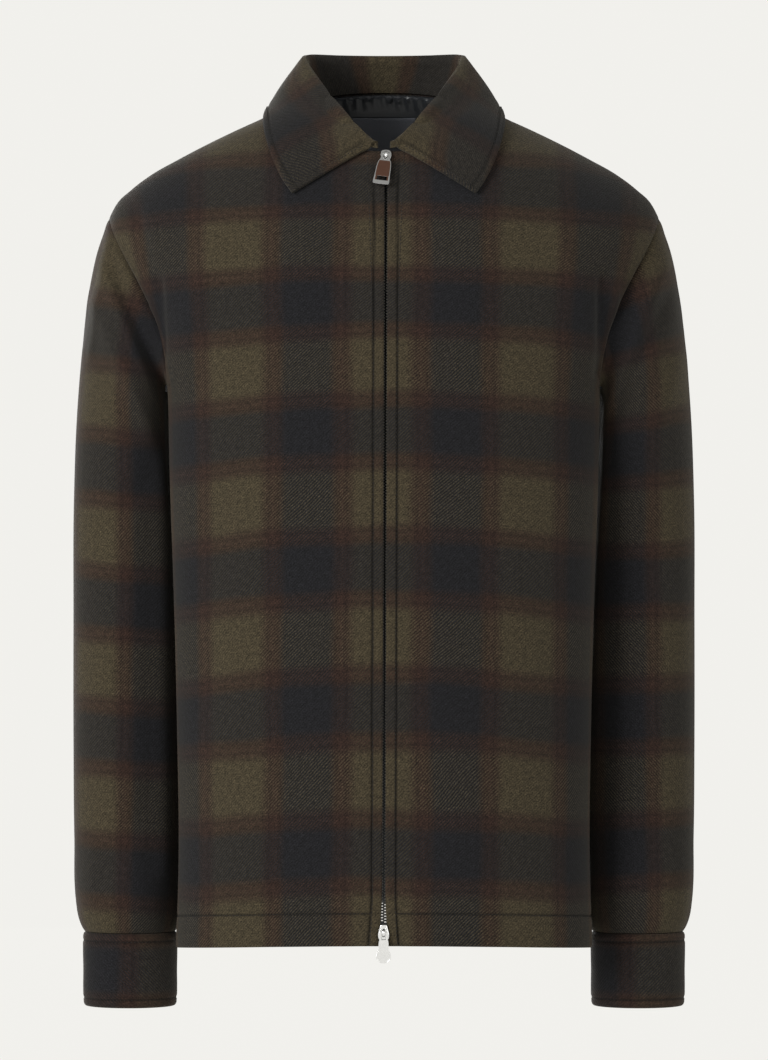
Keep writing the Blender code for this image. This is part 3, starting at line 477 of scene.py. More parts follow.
# A socket of a material. Sums, products and powers of wires add Math nodes; node() adds any other.
class Wire:
    def __init__(self, tree, socket=None):
        self.tree = tree
        self.socket = socket

    def node(self, kind, settings, values, out=0):
        made = self.tree.nodes.new(kind)
        for name, value in settings.items():
            setattr(made, name, value)
        for place, value in values.items():
            if isinstance(value, Wire):
                self.tree.links.new(value.socket, made.inputs[place])
            else:
                made.inputs[place].default_value = value
        return Wire(self.tree, made.outputs[out])

    def math(self, operation, *values):
        return self.node("ShaderNodeMath", {"operation": operation}, dict(enumerate(values)))

    def __add__(self, other):
        return self.math("ADD", self, other)

    def __radd__(self, other):
        return self.math("ADD", other, self)

    def __sub__(self, other):
        return self.math("SUBTRACT", self, other)

    def __rsub__(self, other):
        return self.math("SUBTRACT", other, self)

    def __mul__(self, other):
        return self.math("MULTIPLY", self, other)

    def __rmul__(self, other):
        return self.math("MULTIPLY", other, self)

    def __truediv__(self, other):
        return self.math("DIVIDE", self, other)

    def __rtruediv__(self, other):
        return self.math("DIVIDE", other, self)

    def __pow__(self, other):
        return self.math("POWER", self, other)

    def __rpow__(self, other):
        return self.math("POWER", other, self)

    def __neg__(self):
        return self.math("MULTIPLY", self, -1.0)

    def __abs__(self):
        return self.math("ABSOLUTE", self)

    def wave(self):
        # 0 to 1 to 0 over each whole step
        return abs(self.math("FRACT", self) * 2 - 1)

    def smooth(self, low, high):
        return self.node("ShaderNodeMapRange", {"interpolation_type": "SMOOTHSTEP"},
                         {0: self, 1: low, 2: high})

    def bell(self, centre, width):
        # exp(-((x - centre) / width)^2)
        return self.math("EXPONENT", -(((self - centre) / width) ** 2.0))

    def mix(self, first, second):
        return self.node("ShaderNodeMix", {"data_type": "RGBA"}, {0: self, 6: first, 7: second}, 2)

    def tint(self, shade):
        # colour times a grey value
        grey = self.node("ShaderNodeCombineColor", {}, {0: shade, 1: shade, 2: shade})
        return self.node("ShaderNodeMix", {"data_type": "RGBA", "blend_type": "MULTIPLY"},
                         {0: 1.0, 6: self, 7: grey}, 2)

    def linear(self, gain):
        # screen values to linear light times the gain: c^2.2 * gain
        light = self.node("ShaderNodeGamma", {}, {0: self, 1: 2.2})
        return light.node("ShaderNodeMix", {"data_type": "RGBA", "blend_type": "MULTIPLY"},
                          {0: 1.0, 6: light, 7: (gain, gain, gain, 1.0)}, 2)

    def parts(self):
        # the first two numbers of a vector
        split = self.node("ShaderNodeSeparateXYZ", {}, {0: self})
        return split, Wire(self.tree, split.socket.node.outputs[1])

    def noise(self, size, detail=2.0, rough=0.5):
        # value noise on this vector, size in metres
        return self.node("ShaderNodeTexNoise", {}, {0: self, 2: 1 / size, 3: detail, 4: rough})


# New material: its wire, the shader node and the shader's own constants.
def newMaterial(name, constants):
    material = bpy.data.materials.new(name)
    material.use_nodes = True
    tree = material.node_tree
    shader = tree.nodes["Principled BSDF"]
    for place, value in constants.items():
        shader.inputs[place].default_value = value
    return material, Wire(tree), shader


def plug(shader, place, wire):
    wire.tree.links.new(wire.socket, shader.inputs[place])


def bump(wire, height, strength, distance):
    return wire.node("ShaderNodeBump", {}, {"Strength": strength, "Distance": distance, "Height": height})


# Checked wool: the yarn's tone follows the distance to the nearest navy middle, for warp and weft,
# and the twill shows now one and now the other.
def woolMaterial(name, look):
    material, wire, shader = newMaterial(name, {
        "Roughness": 0.93, "Specular IOR Level": 0.16,
        "Sheen Weight": 0.07, "Sheen Roughness": 0.5, "Sheen Tint": (0.72, 0.68, 0.58, 1),
    })
    place = wire.node("ShaderNodeUVMap", {"uv_map": "cloth"}, {})
    drift = place.noise(0.09, 1.0)
    sway = (drift - 0.5) * 0.007
    u, v = place.parts()
    u, v = u + sway, v - sway
    fuzz = place.noise(0.0013, 3.0, 0.6)
    coarse = place.noise(0.0042, 2.0)
    navy, brown, olive = (screenTone(*cloth[key]) for key in ("navy", "brown", "olive"))
    # painted shade in the stitched grooves, one value a point
    grooveShade = wire.node("ShaderNodeAttribute", {"attribute_name": "grooveShade"}, {}, 2)
    across = abs(v) - look["mirror"] * mm if "mirror" in look else v

    def yarn(position, period, shift):
        phase = position / (period * mm) + (shift + 0.5)
        offset = abs(phase.math("FRACT", phase) - 0.5) + (fuzz - 0.5) * 0.035
        light = offset.smooth(*cloth["oliveStarts"])
        tone = light.mix(offset.smooth(*cloth["navyEnds"]).mix(navy, brown), olive)
        lines = 1.0
        for centre, width, depth in cloth["threads"]:
            lines = offset.bell(centre, width) * depth + lines
        return tone.tint(lines), light

    warp, warpLight = yarn(u, cloth["across"], look.get("shift", 0.0))
    weft, weftLight = yarn(across, cloth["along"], 0.0)
    diagonal = (u - v * look.get("lean", 1) + (coarse - 0.5) * 0.0009) / (cloth["twill"] * mm * 1.414)
    rib = diagonal.wave()
    strength = look.get("rib", 1.0)
    # where the yarns differ, the darker one shows more
    over = (rib - 0.5) * (1.05 * strength) + (fuzz - 0.5) * 0.6 + (warpLight - weftLight) * 0.17 + 0.5
    tone = over.mix(warp, weft)
    shade = (fuzz - 0.5) * 1.6 + (coarse - 0.5) * 0.55 + (rib - 0.5) * (0.2 * strength) + 1.0
    gain = cloth["gain"] * look.get("gain", 1.0)
    # the base colour is darkened in the grooves as painted shade
    plug(shader, "Base Color", tone.tint(shade * (1 - grooveShade * cloth["grooveShade"])).linear(gain))
    height = rib * 0.55 + fuzz * 0.8 + coarse * 0.5
    plug(shader, "Normal", bump(wire, height, 0.55, 0.0005))
    return material


# Satin: a dark sheen with soft uneven streaks along the cloth.
def satinMaterial(name, look):
    tone = colour(*look["tone"])
    # the plain tone and roughness stand in where the nodes below aren't read
    material, wire, shader = newMaterial(name, {
        "Base Color": tone, "Roughness": look["roughness"], "Specular IOR Level": 0.6,
        "Sheen Weight": 0.15, "Sheen Roughness": 0.3,
    })
    place = wire.node("ShaderNodeUVMap", {"uv_map": "cloth"}, {})
    stretched = place.node("ShaderNodeVectorMath", {"operation": "MULTIPLY"}, {0: place, 1: (1.0, 0.25, 1.0)})
    weave = stretched.noise(0.0009, 2.0)
    soft = place.noise(0.02, 2.0)
    plug(shader, "Base Color", soft.mix(scaled(tone, 0.8), scaled(tone, 1.3)))
    plug(shader, "Roughness", weave * 0.12 + (look["roughness"] - 0.06))
    plug(shader, "Normal", bump(wire, weave * 0.3 + soft * 0.7, 0.25, 0.0006))
    return material


# Fine ribbed weave of the label and the zip tapes.
def ribbedMaterial(name, look):
    material, wire, shader = newMaterial(name, {"Roughness": look["roughness"], "Specular IOR Level": 0.3})
    place = wire.node("ShaderNodeUVMap", {"uv_map": "cloth"}, {})
    u, v = place.parts()
    grain = place.noise(0.0007, 2.0)
    ribs = ((u * 0.5 + v) / (look["rib"] * mm)).wave()
    tone = colour(*look["tone"])
    plug(shader, "Base Color", (ribs * 0.5 + grain * 0.5).mix(scaled(tone, 0.75), scaled(tone, 1.25)))
    plug(shader, "Normal", bump(wire, ribs * 0.6 + grain * 0.4, 0.4, 0.0003))
    return material


# Polished or brushed metal with faint wear and a painted reflection on edges turned away; object coordinates
# in metres.
def metalMaterial(name, look):
    material, wire, shader = newMaterial(name, {"Metallic": 1.0})
    place = wire.node("ShaderNodeTexCoord", {}, {}, 3)
    wear = place.noise(0.0025, 3.0)
    fine = place.noise(0.0006, 2.0)
    tone = colour(*look["tone"])
    # painted reflection: the colour darkens on edges turned away, as they would mirror the darker side of a
    # room
    facingShade = wire.node("ShaderNodeLayerWeight", {}, {0: 0.5}, 1)
    worn = wear.mix(scaled(tone, 0.88), scaled(tone, 1.05))
    plug(shader, "Base Color", worn.tint(1 - facingShade.smooth(0.02, 0.75) * 0.8))
    plug(shader, "Roughness", wear * 0.10 + (look["roughness"] - 0.05))
    plug(shader, "Normal", bump(wire, fine, 0.06, 0.0001))
    return material


# Thread: dull, with a twist seen as fine shade.
def threadMaterial(name, look):
    material, wire, shader = newMaterial(name, {"Roughness": 0.7, "Specular IOR Level": 0.25})
    place = wire.node("ShaderNodeTexCoord", {}, {}, 3)
    twist = place.noise(0.0005, 2.0)
    tone = colour(*look["tone"])
    plug(shader, "Base Color", twist.mix(scaled(tone, 0.6), scaled(tone, 1.4)))
    plug(shader, "Normal", bump(wire, twist, 0.3, 0.0002))
    return material


# frontLeft -> front_left
def nodeName(name):
    return "".join("_" + letter.lower() if letter.isupper() else letter for letter in name)


def capital(name):
    return name[0].upper() + name[1:]


def finishPiece(piece, riding, nodes):
    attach(piece, riding)
    for node in nodes:
        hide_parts(node)
    print(piece.name, len(piece.data.polygons), "faces")


# Area of a grid, the sum of |a x b| over its cells, and its longest row and column, for the flat cut.
def measure(name, grid, closed):
    across = np.linalg.norm(np.diff(np.column_stack([grid, grid[:, :1]]) if closed else grid, axis=1), axis=2)
    up = np.linalg.norm(np.diff(grid, axis=0), axis=2)
    a = grid[:-1, :-1]
    area = (np.linalg.norm(np.cross(grid[:-1, 1:] - a, grid[1:, :-1] - a), axis=2)).sum()
    print("flat", name, "rows", round(across.sum(1).max(), 1), "columns", round(up.sum(0).max(), 1),
          "area", round(area * 1e-6, 4))


print("materials")
# shift is a share of the repeat along the weft; mirror is where the collar's check starts, both ways
woolLooks = {
    "front": {"shift": 64 / 124}, "back": {"shift": 0.5}, "sleeveLeft": {}, "sleeveRight": {},
    # the collar's copy is a little darker, painted shade for its leaf that faces up into more light
    "cuff": {"lean": -1}, "collar": {"gain": 0.97, "rib": 0.5, "mirror": 50.0},
}
wool = {key: woolMaterial("wool" + capital(key), look) for key, look in woolLooks.items()}
satin = satinMaterial("satinLining", {"tone": (34, 36, 39), "roughness": 0.42})
labelCloth = ribbedMaterial("labelCloth", {"tone": (86, 88, 94), "roughness": 0.6, "rib": 0.5})
tapeCloth = ribbedMaterial("tapeCloth", {"tone": (24, 23, 22), "roughness": 0.85, "rib": 0.9})
chrome = metalMaterial("chrome", {"tone": (240, 240, 239), "roughness": 0.17})
# painted shade: a dark copy of the teeth's metal for the shaded gap; painted light: a bright copy for the lit
# teeth by the hem
shadedToothMetal = metalMaterial("shadedToothMetal", {"tone": (82, 80, 77), "roughness": 0.42})
litToothMetal = metalMaterial("litToothMetal", {"tone": (226, 224, 219), "roughness": 0.26})
pullMetal = metalMaterial("pullMetal", {"tone": (138, 102, 86), "roughness": 0.3})
thread = threadMaterial("thread", {"tone": (26, 24, 23)})

print("body and sleeves")
# folds and creases everywhere: from x and z to x and z, height, half width
fronts = {
    "edge": 1.3, "edgeAtHem": 4.2, "opensZ": -664.0, "zipTopX": 1.7, "zipBottomX": -0.4,
    "stitchFromEdge": 8.6, "hemStitch": 27.0,
    "folds": {
        "left": [(183, -158, 181, -232, -4.2, 5.5), (192, -172, 190, -224, 3.6, 6.5),
                 (150, -130, 176, -215, 2.2, 12.0)],
        "right": [(189, -160, 187, -216, -3.8, 5.0), (196, -184, 193, -222, 3.2, 6.0),
                  (207, -104, 192, -166, -2.2, 5.0), (146, -140, 172, -225, 2.0, 13.0)],
    },
    "soft": {
        "left": [(60, -150, 96, -300, 0.9, 22), (120, -320, 138, -470, -1.0, 20),
                 (44, -430, 60, -640, 0.7, 18), (150, -540, 162, -690, 0.9, 16),
                 (96, -600, 104, -706, -0.8, 15), (30, -640, 26, -708, 0.6, 9)],
        "right": [(66, -140, 90, -320, 0.8, 20), (126, -300, 148, -450, -1.1, 18),
                  (52, -460, 48, -620, 0.6, 17), (146, -560, 150, -700, 0.8, 17),
                  (88, -620, 92, -708, -0.7, 13), (28, -655, 30, -708, 0.5, 8)],
    },
}
backLook = {
    "soft": [(178, -150, 164, -260, 1.8, 13), (186, -188, 176, -246, -1.6, 6), (60, -120, 84, -330, 1.1, 26),
             (118, -260, 128, -430, -1.2, 22), (20, -380, 30, -600, 0.9, 20), (150, -470, 158, -640, 1.0, 18),
             (92, -560, 98, -706, -0.9, 16), (40, -640, 44, -708, 0.6, 12), (134, -40, 160, -120, 0.8, 16)],
}
sleeveLook = {
    # outer x and z, inner x and z, middle y, half depth
    "rings": [
        (243.5, -130, 181.0, -257, -2, 66), (251.5, -168, 179.0, -272, 4, 66),
        (257.0, -212, 178.0, -298, 13, 64), (262.0, -268, 172.5, -334, 22, 62),
        (265.0, -340, 169.0, -380, 29, 60), (265.6, -440, 167.5, -455, 33, 60),
        (265.6, -540, 167.5, -544, 33, 59), (264.6, -628, 169.0, -630, 28, 57),
        (262.6, -682, 171.5, -683, 22, 52), (258.6, -701, 175.0, -701, 18, 42),
        (255.6, -707.6, 177.2, -707.6, 16, 37.5),
    ],
    "gatherZ": -690, "gatherHalf": 13,
    # the check: turn of its middle in degrees, mm a degree, how far bands dip, the first band and their step
    "checkTurn": {"left": 106, "right": 119}, "perDegree": 0.98,
    "dipZ": [-708, -600, -407, -292, -179, -100],
    "dips": {"left": [4, 3, 2, 13, 34, 40], "right": [4, 5, 8, 9, 20, 28]},
    "firstBand": {"left": -179.0, "right": -196.5}, "bandStep": 114.3,
    "frontFolds": {
        "left": [(240, -165, 198, -262, -4.6, 7.0), (250, -225, 212, -320, 3.0, 10.0),
                 (238, -118, 255, -190, -1.0, 3.0),
                 (228, -610, 236, -672, -1.6, 9.0), (200, -330, 236, -400, -0.9, 10.0),
                 (206, -460, 240, -520, 0.8, 12.0), (244, -560, 220, -640, -0.7, 9.0)],
        "right": [(228, -146, 184, -250, -8.0, 6.5), (244, -176, 198, -280, 4.2, 8.0),
                  (188, -310, 186, -650, 4.0, 8.0),
                  (237, -112, 256, -205, -1.8, 2.6), (232, -122, 248, -216, 2.0, 3.2),
                  (246, -640, 249, -690, 1.4, 7.0), (196, -320, 240, -372, -1.0, 9.0),
                  (214, -430, 244, -500, 0.9, 12.0), (200, -590, 232, -660, -0.8, 10.0)],
    },
    "backFolds": {
        "left": [(240, -200, 206, -280, -1.8, 11), (200, -360, 244, -410, -1.6, 9),
                 (206, -395, 248, -440, 1.5, 10), (198, -440, 232, -470, -1.1, 8),
                 (240, -580, 214, -660, 0.9, 11)],
        "right": [(236, -190, 200, -262, -2.2, 10), (204, -350, 246, -396, -1.4, 8),
                  (202, -400, 240, -436, 1.4, 11), (206, -448, 240, -486, -1.2, 9),
                  (246, -600, 222, -672, -0.8, 10)],
    },
}

# places that share points along the seams
stitchColumns = np.array([1.2, 2.6, 4.3, 6.0, 7.2, 7.9, 8.6, 9.3, 10.0, 11.2, 13.2]) / body["topRun"]
neckPart = spaced(0, body["frontNeckShare"], 26, stitchColumns, 0.005)
linePart = spaced(0, 1, 46, 1 - np.array([1.3, 2.6, 4.2]) / 150, 0.008)
frontShares = np.concatenate([neckPart, body["frontNeckShare"] + (1 - body["frontNeckShare"]) * linePart[1:]])
backNeck = np.linspace(0, body["backNeckShare"], 42)
backShares = np.concatenate([backNeck, body["backNeckShare"] + (1 - body["backNeckShare"]) * linePart[1:]])
hemRows = np.array([1.3, 2.8, 5.0, 9.0, 15.0, 21.0, 24.6, 25.8, 26.4, 27.0, 27.6, 28.2, 29.4, 32.0])
lower = spaced(0, 1, 84, hemRows / body["lowerRun"], 0.005)
upper = np.linspace(0, 1, 67)


def zipX(z):
    ends = [body["rows"][0][0], body["frontNeckZ"][0]]
    return np.interp(z, ends, [fronts["zipBottomX"], fronts["zipTopX"]])


# Moves the front edge off the zip line, wider near the hem.
def openEdge(grid, sign):
    grid = grid.copy()
    z = grid[..., 2]
    opened = np.clip((fronts["opensZ"] - z) / (fronts["opensZ"] - body["rows"][0][0]), 0, 1)
    edge = fronts["edge"] + (fronts["edgeAtHem"] - fronts["edge"]) * opened**1.5
    near = np.clip(1 - frontShares[None] / body["frontNeckShare"], 0, 1)
    grid[..., 0] += (edge + sign * zipX(z)) * near**2
    return grid


# Armhole ring blended into the rings of the table, kept off the torso.
def sleeveGrid(rows):
    front = armhole(upper[::-1], True)
    back = armhole(upper, False)
    rings = [np.concatenate([front, back[1:-1]])]
    turn = sleeveTurn()
    share = 0.5 + 0.5 * np.cos(turn)
    for outerX, outerZ, innerX, innerZ, centreY, halfDepth in sleeveLook["rings"]:
        rings.append(np.column_stack([innerX + (outerX - innerX) * share, centreY - halfDepth * np.sin(turn),
                                      innerZ + (outerZ - innerZ) * share]))
    rings = np.stack(rings)
    run = lengthRun(rings.mean(1))
    grid = curveThrough(run, rings, run[-1] * rows)
    y, z = grid[..., 1], grid[..., 2]
    limit = torsoX(y, z) + 3.2 * np.clip(rows * 12, 0, 1)[:, None]
    half = len(upper) // 2
    edge = np.concatenate([front[::-1][:half][::-1], back[1:half]])
    inside = z < np.interp(y, edge[:, 1], edge[:, 2]) - 0.5
    excess = np.where(inside, limit - grid[..., 0], -1e3)
    grid[..., 0] += np.where(excess > -4, np.log1p(np.exp(np.clip(excess, -30, 60))), 0)
    return grid


def sleeveTurn():
    return np.concatenate([math.pi * (1 - upper[::-1]), math.pi * (1 + upper[1:-1])])


def mirroredGrid(grid):
    return grid[:, ::-1] * [-1, 1, 1]


frontHalf = halfPanel(frontShares, lower, upper, True)
backHalf = halfPanel(backShares, lower, upper, False)
frontGrids = {}
for side, sign in (("left", 1), ("right", -1)):
    grid = openEdge(frontHalf, sign)
    normal = gridNormals(grid, False)
    push = creases(grid, fronts["folds"][side]) + creases(grid, fronts["soft"][side])
    fade = 1 - pulse(runs(grid)[1], 5.0)
    push = push * np.where(np.arange(push.shape[1]) == push.shape[1] - 1, 0, np.maximum(fade, 0.4))
    push[-1] = 0
    frontGrids[side] = grid + normal * (push * -np.sign(normal[..., 1]))[..., None]
backPush = creases(backHalf, backLook["soft"])
backPush *= 1 - pulse(runs(backHalf)[1], 8.0)
backPush *= 1 - pulse(runs(backHalf)[3], 10.0)
backNormal = gridNormals(backHalf, False)
backHalf = backHalf + backNormal * (backPush * np.sign(backNormal[..., 1]))[..., None]

sleeveRows = spaced(0, 1, 150, np.array([1.2, 2.4, 3.8, 6.0, 596.0, 598.4]) / 605, 0.004)
plainSleeve = sleeveGrid(sleeveRows)
sleeveGrids = {}
for side in ("left", "right"):
    grid = plainSleeve.copy()
    normal = gridNormals(grid, True)
    toFront = np.clip(-normal[..., 1], 0, 1) ** 0.5
    toBack = np.clip(normal[..., 1], 0, 1) ** 0.5
    fade = 1 - pulse(runs(grid)[2], 8.0)
    push = (creases(grid, sleeveLook["frontFolds"][side]) * toFront
            + creases(grid, sleeveLook["backFolds"][side]) * toBack) * fade
    # small gathers where the sleeve narrows to the cuff
    turn = sleeveTurn()[None]
    low = pulse(grid[..., 2] - sleeveLook["gatherZ"], sleeveLook["gatherHalf"])
    gathers = 0.5 * np.sin(7 * turn + 0.8) + 0.35 * np.sin(11 * turn + 2.1)
    push += low * gathers * (0.6 + 0.4 * np.cos(turn - 1))
    sleeveGrids[side] = grid + unit(grid - grid.mean(1, keepdims=True)) * push[..., None]

grids = {
    "frontLeft": (frontGrids["left"], False),
    "frontRight": (mirroredGrid(frontGrids["right"]), False),
    "back": (np.concatenate([backHalf[:, :0:-1] * [-1, 1, 1], backHalf], 1)[:, ::-1], False),
    "sleeveLeft": (sleeveGrids["left"], True),
    "sleeveRight": (mirroredGrid(sleeveGrids["right"]), True),
}
normals = sharedNormals(grids)
seams = {
    "frontLeft": ("top", "last"), "frontRight": ("top", "first"), "back": ("top", "first", "last"),
    "sleeveLeft": ("bottom",), "sleeveRight": ("bottom",),
}


# Share of painted shade in the stitched grooves: a soft pulse about each line of stitches.
def grooveShadeShares(name, grid):
    first, last, bottom, top = runs(grid)
    hem = 0.75 * pulse(bottom - fronts["hemStitch"], 0.9)
    if name == "back":
        return hem
    edge = first if name == "frontLeft" else last
    return np.maximum(pulse(edge - fronts["stitchFromEdge"], 0.95), hem * (edge > fronts["stitchFromEdge"]))


# Small relief of a piece: stitched front edge and hem, dips along the seams.
def relief(name, grid, closed):
    if closed:
        bottom = runs(grid)[2]
        top = bottom[-1:] - bottom
        return -0.5 * np.maximum(pulse(bottom, 1.7), pulse(top, 1.5)) + 0.35 * pulse(bottom - 6.5, 4.0)
    first, last, bottom, top = runs(grid)
    hem = stitchedEdge(bottom, fronts["hemStitch"], 0.35, 0.85)
    if name == "back":
        return hem - 0.5 * np.maximum.reduce([pulse(first, 1.7), pulse(last, 1.7), pulse(top, 1.7)])
    edge, side = (first, last) if name == "frontLeft" else (last, first)
    dips = 0.5 * np.maximum(pulse(side, 1.7), pulse(top, 1.7))
    strip = stitchedEdge(edge, fronts["stitchFromEdge"], 0.75, 1.25)
    return np.minimum(strip, np.maximum(hem, -1.2)) * (edge < 14) + hem * (edge >= 14) - dips


# Where the check's bands lie at the centre front and how far they dip toward the side
bands = {
    "dipZ": [-719, -648, -528, -411, -323, -246, -176, -78, 10],
    "dips": [8, 11, 15, 15, 13, 11, 11, 7, 5],
    "z": [-751.7, -633.7, -512.6, -395.8, -282.4, -176.3, -78, 26],
    "rows": [-5, -4, -3, -2, -1, 0, 1, 2],
}


# Arc length of the superellipse beyond its own x, at a share of the half width, in mm.
def wrapExtra(share, halfWidth, depth, power):
    t = np.linspace(0, math.pi / 2, 800)
    x = np.sin(t) ** (2 / power)
    y = np.cos(t) ** (2 / power)
    arc = np.concatenate([[0], np.cumsum(np.hypot(np.diff(x) * halfWidth, np.diff(y) * depth))])
    return np.interp(np.clip(share, 0, 1), x, arc - x * halfWidth)


# Cloth places of a half panel: u is the length round the body, v the height with the checks' drape.
def panelPlaces(grid, front):
    x, z = np.abs(grid[..., 0]), grid[..., 2]
    low = np.minimum(z + 6, body["rows"][-1][0])
    width = np.where(z > -246, frontWidth(z) if front else backWidth(z), bodyRow(low, 2))
    power = roundness(front)
    depth = abs(middleY(front) - body["sideY"])
    share = x / width
    deep = fall(shoulderHeight(x, front) - z, x)
    u = x + wrapExtra(share, 182.5, depth, power) * deep
    middle = z + np.interp(z, bands["dipZ"], bands["dips"]) * np.clip(share, 0, 1) ** 2
    rows = np.interp(middle, bands["z"], bands["rows"])
    # over the shoulder the cloth runs on level: v gains the chord from there less its share in height
    full = sectionY(x, width, middleY(front), power)
    length = body["depthFall"] - body["fallLoss"] * np.clip(x / 230, 0, 1)
    drop = np.clip(shoulderHeight(x, front) - z, 0, body["overShoulder"])
    left = body["overShoulder"] - drop
    edge = 1 - body["overShoulder"] / length
    rise = np.abs(full - body["shoulderY"])
    slope = np.hypot(1, rise / length * edge / np.sqrt(1 - edge**2))
    chord = np.hypot(left, rise * (fall(body["overShoulder"] + 0 * x, x) - fall(drop, x)))
    return np.stack([u * np.sign(grid[..., 0] + 1e-6), rows * cloth["along"] + chord - slope * left], -1)


# Cloth places of a sleeve: u from the top line round the front, v with the checks' dip on the inner side.
def sleevePlaces(grid, side):
    turn = np.append(sleeveTurn(), tau)[None] + np.zeros((len(grid), 1))
    wide = np.column_stack([grid, grid[:, :1]])
    u = (turn * 180 / math.pi - sleeveLook["checkTurn"][side]) * sleeveLook["perDegree"]
    inner = 0.5 - 0.5 * np.cos(turn)
    z = wide[..., 2]
    dip = np.interp(z, sleeveLook["dipZ"], sleeveLook["dips"][side])
    v = (z + dip * inner - sleeveLook["firstBand"][side]) * cloth["along"] / sleeveLook["bandStep"]
    return np.stack([u, v], -1)


outers = {}
pieces = {}
for name, (grid, closed) in grids.items():
    normal, reach = normals[name]
    outer = grid + normal * relief(name, grid, closed)[..., None]
    inner = grid - normal * (reach * body["wall"])[..., None]
    for edge in seams[name]:
        openSeam(outer, inner, normal, edge)
    outers[name] = outer
    if name == "sleeveLeft":
        places = sleevePlaces(grid, "left")
    elif name == "sleeveRight":
        places = sleevePlaces(sleeveGrids["right"], "right")[:, ::-1]
    else:
        places = panelPlaces(grid, name != "back")
    pieces[name] = addCloth("backPanel" if name == "back" else name, outer, inner, closed, places,
                            [wool.get(name, wool["front"]), satin], 0.5)
    if not closed:
        # painted shade in the panels' stitched grooves
        addGrooveShade(pieces[name], grooveShadeShares(name, grid))
    finishPiece(pieces[name], "jacket", [nodeName(name)])
    measure(name, grid - normal * 1.0, closed)

print("cuffs")
cuffLook = {
    "centre": (216.4, 16.0), "wall": 2.6, "top": -708, "bottom": -771, "stitchFromEdge": 7.0,
    # half width across and in depth at a height
    "rings": [(-708.0, 39.2, 37.5), (-713.0, 39.6, 37.9), (-740.0, 39.4, 37.6), (-766.0, 39.2, 37.4),
              (-771.0, 38.6, 36.8)],
    # the check: turn and height of its navy middles, mm a degree
    "navyAt": {"Left": 150, "Right": 47}, "navyZ": -739, "perDegree": 0.672,
}
cuffRings = np.array(cuffLook["rings"])
cuffDepth = cuffLook["top"] - cuffLook["bottom"]
cuffExtra = [1.2, 2.8, 5.6, 6.3, 7.0, 7.7, 8.4, 54.6, 55.3, 56.0, 56.7, 57.4, 60.2, 61.8]
cuffHeights = cuffLook["top"] - spaced(0, cuffDepth, 26, cuffExtra, 0.8)
cuffTurn = np.linspace(0, tau, 120, endpoint=False)
cuffHalf = [curveThrough(-cuffRings[:, 0], cuffRings[:, k], -cuffHeights) for k in (1, 2)]
cuffLines = []
for side, sign in (("Left", 1), ("Right", -1)):
    top = cuffLook["top"] - cuffHeights
    low = cuffHeights - cuffLook["bottom"]
    seam = cuffLook["stitchFromEdge"]
    swell = 0.35 * np.sin(math.pi * top / cuffDepth) ** 0.5
    push = (stitchedEdge(top, seam, 0.45, 0.7) + stitchedEdge(low, seam, 0.45, 0.7) + swell)[:, None]
    push = push + 0.35 * np.sin(2 * cuffTurn + 0.6)[None] * np.sin(math.pi * top / cuffDepth)[:, None]
    walls = []
    for thin in (0.0, cuffLook["wall"]):
        grow = push if thin == 0.0 else 0.0
        x = sign * (cuffLook["centre"][0] + (cuffHalf[0][:, None] - thin + grow) * np.cos(cuffTurn))
        y = cuffLook["centre"][1] - (cuffHalf[1][:, None] - thin + grow) * np.sin(cuffTurn)
        walls.append(np.stack([x, y, np.broadcast_to(cuffHeights[:, None], x.shape)], -1))
    turn = np.append(cuffTurn, tau)
    u = (turn * 180 / math.pi - cuffLook["navyAt"][side]) * cuffLook["perDegree"]
    v = cuffHeights - cuffLook["navyZ"]
    places = np.stack(np.meshgrid(u, v), -1)
    name = "cuff" + side
    pieces[name] = addCloth(name, walls[0], walls[1], True, places, [wool["cuff"]], 0.8)
    # painted shade in the cuff's stitched grooves
    stitchShade = 0.8 * np.maximum(pulse(top - seam, 0.9), pulse(low - seam, 0.9))
    addGrooveShade(pieces[name], stitchShade[:, None] * np.ones(len(cuffTurn)))
    finishPiece(pieces[name], "jacket", [nodeName(name)])
    measure(name, walls[0], True)
    for at in (seam, cuffDepth - seam):
        row = int(np.abs(top - at).argmin())
        ring = np.concatenate([walls[0][row], walls[0][row, :1]])
        outs = unit(ring - [sign * cuffLook["centre"][0], cuffLook["centre"][1], ring[0, 2]])
        cuffLines.append((side, (ring, outs)))

print("collar")
collarLook = {
    "wall": 3.0, "fold": 3.2, "leafClear": 3.5, "stitchFromEdge": 6.0, "sweeps": 90,
    "halfRun": 250, "depth": 92,    # lengths for the columns and rows beside the stitches
    "rollToNavy": 46,
    # share of the half collar, then the roll's x, y, z and the leaf edge's x, y, z
    "stations": [
        (0.00, 9.5, -97, -43.5, 76, -114, -86.5), (0.12, 19, -86, -32, 82, -104, -79),
        (0.25, 31, -70, -18.5, 88.5, -86, -66), (0.36, 42, -51, -4, 93.5, -64, -49),
        (0.46, 51, -33, 8, 97.5, -38, -32), (0.58, 63, -7, 25, 100.5, -4, -13),
        (0.70, 70, 20, 38, 99, 30, -9), (0.80, 64, 42, 41, 86, 66, -12),
        (0.90, 38, 58, 41, 50, 92, -19), (1.00, 0, 63, 40.5, 0, 100, -22),
    ],
}


# Height of the shoulder and chest over x and y, solved from the depth formula.
def bodyHeight(x, y):
    inFront = y < body["shoulderY"]
    wide = body["backWidth"][-1]
    full = np.where(inFront, sectionY(x, wide, middleY(True), roundness(True)),
                    sectionY(x, wide, middleY(False), roundness(False)))
    share = np.clip((y - body["shoulderY"]) / (full - body["shoulderY"]), 0, 0.995)
    length = body["depthFall"] - body["fallLoss"] * np.clip(np.abs(x) / 230, 0, 1)
    line = np.where(inFront, shoulderHeight(x, True), shoulderHeight(x, False))
    return line - length * (1 - np.sqrt(1 - share**2))


